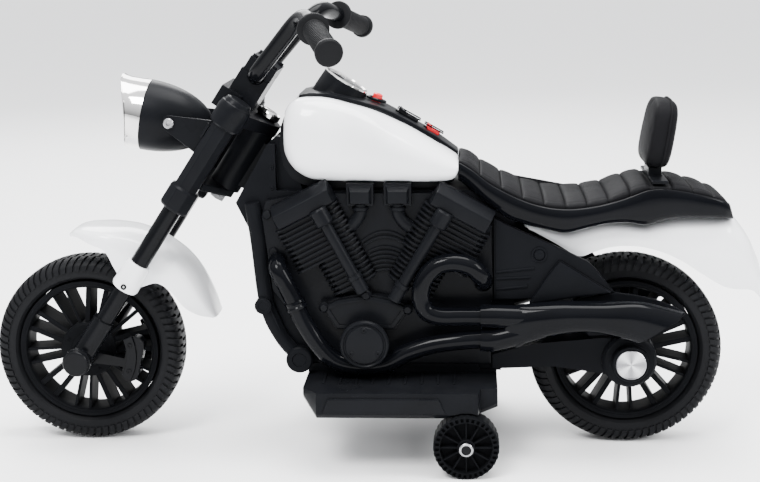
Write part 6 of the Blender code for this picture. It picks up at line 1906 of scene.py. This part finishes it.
@dataclass
class Saddle:
    """The gloss seat base, the sewn seat and the backrest."""

    low: Table = (
        (0.103, 0.3185), (0.152, 0.2795), (0.1755, 0.2705), (0.199, 0.2645), (0.222, 0.2606), (0.245, 0.266),
        (0.268, 0.2706), (0.29, 0.2706), (0.312, 0.267), (0.33, 0.2714), (0.349, 0.2741), (0.372, 0.2739),
        (0.395, 0.2728), (0.412, 0.2706))
    line: Table = (
        (0.103, 0.3405), (0.117, 0.3325), (0.1335, 0.32), (0.152, 0.3095), (0.1755, 0.299), (0.199, 0.2923),
        (0.222, 0.29), (0.245, 0.2917), (0.268, 0.2958), (0.291, 0.302), (0.312, 0.309), (0.328, 0.31),
        (0.349, 0.307), (0.372, 0.3018), (0.395, 0.2955), (0.412, 0.2896))
    crest: Table = (
        (0.103, 0.3455), (0.113, 0.3412), (0.133, 0.3275), (0.154, 0.3162), (0.176, 0.3064), (0.2, 0.3),
        (0.2245, 0.298), (0.2487, 0.3002), (0.2704, 0.3046), (0.292, 0.3132), (0.311, 0.3172),
        (0.3184, 0.318), (0.3425, 0.3155), (0.3618, 0.3112), (0.3837, 0.3042), (0.4, 0.2975), (0.412, 0.2906))
    half: Table = (
        (0.103, 0.06), (0.13, 0.07), (0.17, 0.077), (0.22, 0.08), (0.26, 0.079), (0.3, 0.072), (0.35, 0.063),
        (0.4, 0.052), (0.412, 0.044))
    rolls: int = 13
    channel: float = 0.004
    seam: float = 0.0005
    seam_height: float = 0.74
    strap: Row = (0.317, 0.3365)
    strap_sink: float = 0.004
    tail_lean: float = 0.0055
    tail_start: float = 0.92
    back_foot: Vector = Vector((0.3234, 0.0, 0.3296))
    back_lean: float = radians(10)
    back_height: float = 0.078
    back_half: float = 0.052
    back_thick: float = 0.032

    def build(self) -> None:
        """Build and dress the seat base, pads and bracket."""
        dressed(self.base(), "seat_shell", GLOSS, "seat_base", smooth=50)
        seat = dressed(self.pad(), "seat_cushion", HIDE, "seat_pad", smooth=60)
        back = dressed(self.backrest(), "backrest_cushion", HIDE, "backrest_pad", smooth=60)
        dressed(softened("backrest_bracket", 0.0012), "backrest_strap", SATIN, "backrest_bracket")

    def tail(self, u: float) -> float:
        """Return how far the tail leans forwards at a share of the seat's length."""
        return self.tail_lean * max(0.0, (u - self.tail_start) / (1 - self.tail_start)) ** 2

    def base(self) -> Piece:
        """Return the seat base: full flanks that rise to a thin lip round the cushion.

        Returns:
            The base.
        """
        first, last = self.line[0][0] - 0.0014, self.line[-1][0]
        half_section = [(0.0, 0.0), (0.5, 0.0), (0.8, 0.02), (0.93, 0.14), (0.985, 0.42), (0.99, 0.72),
                        (0.972, 0.93), (0.95, 1.0), (0.93, 1.0), (0.915, 0.985), (0.6, 0.985), (0.0, 0.985)]
        points = half_section + [(-across, up) for across, up in half_section[-2::-1]]
        section = smooth_line([(across, up, 0.0) for across, up in points], 3)

        def place(u: float, v: float) -> tuple[float, float, float]:
            """Return the base's point at u along it and v round it.

            Args:
                u: the share along it, from 0 to 1.
                v: the share round it, from 0 to 1.

            Returns:
                The point.
            """
            x = first + (last - first) * u
            low, high, half = read(self.low, x), read(self.line, x), read(self.half, x)
            across, up, _ = section[min(len(section) - 1, round(v * (len(section) - 1)))]
            return x - self.tail(u) * up, across * half, low + (high - low) * up

        return moulded((96, len(section) - 1), place, fill=True)

    def pad(self) -> Piece:
        """Return the seat cushion: sewn rolls between channels, with a seam along each shoulder.

        Returns:
            The cushion.
        """
        first, last = self.line[0][0] - 0.0009, self.line[-1][0] - 0.0005

        def place(u: float, v: float) -> tuple[float, float, float]:
            """Return the cushion's point at u along it and v round it.

            Args:
                u: the share along it, from 0 to 1.
                v: the share round it, from 0 to 1.

            Returns:
                The point.
            """
            x = first + (last - first) * u
            foot = read(self.line, x) - 0.0003
            rise = read(self.crest, x) - foot
            half = 0.93 * read(self.half, x) - 0.004
            roll = abs(sin(pi * u * self.rolls)) ** 0.34
            sink = (1 - roll) * self.channel
            gap = min(abs(x - edge) for edge in self.strap)
            if self.strap[0] - 0.001 < x < self.strap[1] + 0.001:
                rise, sink = self.strap_sink, 0.0
            elif gap < 0.006:
                rise *= 0.75 + 0.25 * gap / 0.006
            turn = tau * v
            crease = 0.0005 * noise.noise(Vector((x * 60, v * 9, 3.1))) * roll
            up = power(sin(turn), 0.62)
            seam = self.seam * max(0.0, 1 - abs(up - self.seam_height) / 0.06)
            x -= self.tail(u)
            if up < 0:
                return x, (half - 0.004) * power(cos(turn), 0.5), foot
            return (x, (half + 0.0014 - sink * 0.7 + crease - seam) * power(cos(turn), 0.5),
                    foot + (rise - sink + crease - seam) * up)

        return moulded((self.rolls * 16, 64), place, fill=True)

    def backrest(self) -> Piece:
        """Return the backrest cushion, puffed by a cloth simulation, with its piped seam.

        Returns:
            The cushion.
        """
        half, height, thick = self.back_half - 0.0015, self.back_height - 0.002, self.back_thick / 2 - 0.0012
        quarter = [(0.0, 0.0), (half * 0.5, 0.0), (half * 0.84, 0.004), (half * 0.98, 0.016),
                   (half, height * 0.36), (half * 0.95, height * 0.66), (half * 0.84, height * 0.86),
                   (half * 0.6, height * 0.97), (half * 0.28, height), (0.0, height)]
        outline = quarter + [(-across, up) for across, up in quarter[-2:0:-1]] + [quarter[0]]
        rim = smooth_line([(across, up, 0.0) for across, up in outline], 6)
        lean = Matrix.Translation(self.back_foot) @ spin(self.back_lean, "Y")
        middle = height * 0.48

        def place(u: float, v: float) -> Vector:
            """Return the cushion's point at u from its front face to its back and v round it.

            Args:
                u: the share from front to back.
                v: the share round it.

            Returns:
                The point.
            """
            across, up, _ = rim[min(len(rim) - 1, round(v * (len(rim) - 1)))]
            turn = pi * (u - 0.5)
            factor = power(cos(turn), 0.34)
            return lean @ Vector((thick * power(sin(turn), 0.42), across * factor,
                                  middle + (up - middle) * factor))

        pad = puffed(moulded((36, len(rim) - 1), place), 0.004, 0.0016)
        seam = [lean @ Vector((0.005, across * 1.012, middle + (up - middle) * 1.012))
                for across, up, _ in rim]
        return joined([pad, tube(seam, 0.0013, 2)])


@dataclass
class Chassis:
    """The body halves, footboards, hub covers, pedal and everything bolted to them."""

    tread_bars: int = 9
    tread_length: float = 0.148
    cradle_out: float = 0.0595
    cradle_radius: float = 0.0088

    def build(self) -> None:
        """Build and dress the chassis pieces."""
        for label, side in SIDES:
            dressed(self.half(label, side), "casing_" + label, MATT, "body_" + label)
            dressed(self.footboard(label, side), "step_" + label, SATIN, "footboard_" + label)
            dressed(self.hub_cap(side), "hub_face_" + label, BRUSHED, "hub_cap_" + label)
        dressed(softened("steering_head", 0.001), "neck", SATIN, "steering_head")
        dressed(softened("throttle_pedal", 0.0008), "foot_pedal", RUBBER, "throttle_pedal")
        dressed(softened("training_wheel_bracket", 0.0006), "outrigger", PAINTED, "training_wheel_bracket")
        for finish, nodes in ((PLATED, ("rear_axle", "drive_motor")), (CASE, ("battery", "gearbox"))):
            for node in nodes:
                refinish(node, finish)

    def half(self, label: str, side: int) -> Piece:
        """Return a body half with its smooth cradle tube, hub tube and ribbed wing.

        Args:
            label: left or right.
            side: -1 for the rider's left, 1 for the right.

        Returns:
            The half.
        """
        parts = [softened("body_" + label, 0.0012)]
        y = side * self.cradle_out
        cradle = smooth_line([(-0.1325, y, 0.296), (-0.1268, y, 0.252), (-0.119, y, 0.178),
                              (-0.1033, y, 0.14), (-0.082, y, 0.1135)], 7)
        parts.append(tube(cradle, self.cradle_radius, 8))
        for x, z, radius, reach in ((-0.122, 0.178, 0.0098, 0.0125), (-0.082, 0.1135, 0.0154, 0.011)):
            boss = turned([(0.0, radius), (reach - 0.0015, radius), (reach, radius - 0.0018),
                           (reach, radius * 0.55), (reach - 0.0012, radius * 0.5), (reach - 0.0012, 0.0)], 40)
            parts.append(put(boss, on_axle((x, y, z), side)))
        hub = turned([(0.0, 0.0315), (0.029, 0.0315), (0.0345, 0.029), (0.0362, 0.0245), (0.0362, 0.0207),
                      (0.049, 0.0205), (0.0503, 0.0198), (0.0503, 0.0)], 72)
        parts.append(put(hub, on_axle((REAR_AXLE.x, side * 0.03, REAR_AXLE.z), side)))
        gusset = [(-0.113, 0.3075), (-0.076, 0.3075), (-0.079, 0.319), (-0.093, 0.333), (-0.0975, 0.348),
                  (-0.0985, 0.369), (-0.105, 0.37), (-0.113, 0.362)]
        parts.append(extruded(gusset, side * 0.03, side * 0.0447))
        for x, z in ((-0.109, 0.336), (-0.1095, 0.312)):
            parts.append(screw(on_axle((x, side * 0.055, z), side), 0.0024, 0.0012))
        parts += self.wing(side)
        return joined(parts)

    def wing(self, side: int) -> list[Piece]:
        """Return the casing's wing beside the rear wheel: its plate, ridges, boss and three-cornered cover.

        Args:
            side: -1 for the rider's left, 1 for the right.

        Returns:
            The wing's shapes.
        """
        plate = extruded([(0.143, 0.279), (0.1538, 0.2725), (0.2115, 0.246), (0.2465, 0.229), (0.256, 0.22),
                          (0.2774, 0.193), (0.234, 0.1885), (0.17, 0.185), (0.143, 0.185)],
                         side * 0.06, side * 0.0668, 0.0014)
        cover = extruded([(0.2151, 0.2312), (0.2745, 0.1935), (0.2344, 0.1888), (0.1803, 0.1802),
                          (0.1989, 0.2095)], side * 0.064, side * 0.0745, 0.0032)
        guard = extruded([(0.228, 0.1798), (0.2403, 0.185), (0.2774, 0.1924), (0.2959, 0.1903),
                          (0.3227, 0.185), (0.3433, 0.1766), (0.3577, 0.1682), (0.348, 0.1566),
                          (0.3103, 0.144), (0.2485, 0.1419)],
                         side * 0.061, side * 0.066, 0.0014)
        parts = [plate, cover, guard]
        for low, end, high in ((0.2168, 0.1868, 0.2214), (0.2091, 0.1827, 0.2109), (0.1969, 0.1789, 0.2004)):
            parts.append(tube([(0.144, side * 0.0668, low), (end, side * 0.0668, high)], 0.0019, 2))
        boss = turned([(0.0, 0.0092), (0.0018, 0.0088), (0.0024, 0.007), (0.0014, 0.0062), (0.003, 0.0054),
                       (0.0036, 0.003), (0.0036, 0.0)], 40)
        return parts + [put(boss, on_axle((0.1925, side * 0.0665, 0.237), side))]

    def footboard(self, label: str, side: int) -> Piece:
        """Return a footboard with tread bars above and a relief on its flank.

        Args:
            label: left or right.
            side: -1 for the rider's left, 1 for the right.

        Returns:
            The footboard.
        """
        parts = [softened("footboard_" + label, 0.0014)]
        bar = block((-0.0006, side * 0.065, 0.095), (0.0022, side * 0.106, 0.0972), 0.0005)
        step = self.tread_length / (self.tread_bars - 1)
        parts.append(repeated(bar, [shift(-0.052 + n * step, 0, 0) for n in range(self.tread_bars)]))
        parts.append(extruded([(-0.05, 0.073), (0.088, 0.073), (0.08, 0.0905), (-0.043, 0.0905)],
                              side * 0.14, side * 0.144, 0.0014))
        return joined(parts)

    def hub_cap(self, side: int) -> Piece:
        """Return the dished silver cap on the hub tube.

        Args:
            side: -1 for the rider's left, 1 for the right.

        Returns:
            The cap.
        """
        cap = turned([(0.0, 0.017), (0.0012, 0.017), (0.0019, 0.0162), (0.0015, 0.0148), (0.0013, 0.006),
                      (0.0015, 0.004), (0.0015, 0.0)], 72)
        return put(cap, on_axle((REAR_AXLE.x, side * 0.0804, REAR_AXLE.z), side))


@dataclass
class Studio:
    """The pale floor, the soft lights and the camera at the photo's angle."""

    focal: float = 1430.0
    image_width: float = 760.0
    sensor: float = 36.0
    azimuth: float = radians(3.7)
    elevation: float = radians(11.8)
    roll: float = -0.0158
    distance: float = 1.6856
    target: Vector = Vector((0.0088, 0.0, 0.239))
    horizon: float = 0.45
    zenith: float = 2.6

    def build(self) -> None:
        """Set up the floor, the lights and the camera."""
        self.camera()
        self.floor()
        self.world()
        self.light("key", (-0.9, -1.7, 2.5), 1.0, 120.0)
        self.light("top", (0.3, 0.1, 2.7), 1.7, 150.0)
        self.light("side", (2.3, -0.9, 1.5), 0.9, 45.0)
        self.light("rear", (-0.6, 2.5, 2.0), 1.6, 70.0)

    def camera(self) -> None:
        """Place the camera."""
        back = Vector((sin(self.azimuth) * cos(self.elevation), -cos(self.azimuth) * cos(self.elevation),
                       sin(self.elevation)))
        right = Vector((cos(self.azimuth), sin(self.azimuth), 0.0))
        up = right.cross(-back)
        turned_right = right * cos(self.roll) + up * sin(self.roll)
        turned_up = up * cos(self.roll) - right * sin(self.roll)
        data = bpy.data.cameras.new("photo_camera")
        data.lens, data.sensor_width = self.focal / self.image_width * self.sensor, self.sensor
        camera = bpy.data.objects.new("photo_camera", data)
        bpy.context.collection.objects.link(camera)
        matrix = Matrix((turned_right, turned_up, back)).transposed().to_4x4()
        matrix.translation = self.target + back * self.distance
        camera.matrix_world = matrix
        bpy.context.scene.camera = camera

    def floor(self) -> None:
        """Lay the pale floor."""
        clear_selection()
        bpy.ops.mesh.primitive_plane_add(size=60.0, location=(0.0, 0.0, 0.0))
        floor = bpy.context.active_object
        floor.name = "floor"
        made = bpy.data.materials.new("pale_floor")
        made.use_nodes = True
        shader = made.node_tree.nodes["Principled BSDF"]
        shader.inputs["Base Color"].default_value = (0.92, 0.92, 0.92, 1.0)
        shader.inputs["Roughness"].default_value = 0.75
        shader.inputs["Specular IOR Level"].default_value = 0.15
        floor.data.materials.append(made)

    def world(self) -> None:
        """Fill the room with even light that comes mostly from above."""
        world = bpy.data.worlds.new("studio")
        world.use_nodes = True
        tree = world.node_tree
        background = tree.nodes["Background"]
        background.inputs["Color"].default_value = (0.97, 0.98, 1.0, 1.0)
        height = tree.nodes.new("ShaderNodeSeparateXYZ")
        tree.links.new(tree.nodes.new("ShaderNodeTexCoord").outputs["Generated"], height.inputs["Vector"])
        rise = spread_node(tree, height.outputs["Z"], (0.0, 0.8, self.horizon, self.zenith))
        tree.links.new(rise, background.inputs["Strength"])
        bpy.context.scene.world = world

    def light(self, name: str, place: Row, size: float, watts: float) -> None:
        """Hang one soft light that aims at the motorcycle.

        Args:
            name: the light's name.
            place: where it hangs.
            size: its side.
            watts: its power.
        """
        data = bpy.data.lights.new(name, "AREA")
        data.shape, data.size, data.energy = "SQUARE", size, watts
        lamp = bpy.data.objects.new(name, data)
        bpy.context.collection.objects.link(lamp)
        aim = (self.target - Vector(place)).to_track_quat("-Z", "Y")
        lamp.matrix_world = Matrix.Translation(place) @ aim.to_matrix().to_4x4()


def main() -> None:
    """Build the studio, then each sub-assembly in order."""
    logging.basicConfig(level=logging.INFO, format="%(name)s %(message)s")
    Studio().build()
    Effects().build()
    for part in (Wheel("front", FRONT_AXLE, radians(80)), Wheel("rear", REAR_AXLE, radians(90)),
                 Headlight(), Fork(), Handlebar(), Fenders(), Tank(), Engine(), Saddle(), Chassis()):
        part.build()
    for label, side in SIDES:
        TrainingWheel(label, side).build()


if __name__ == "__main__":
    main()
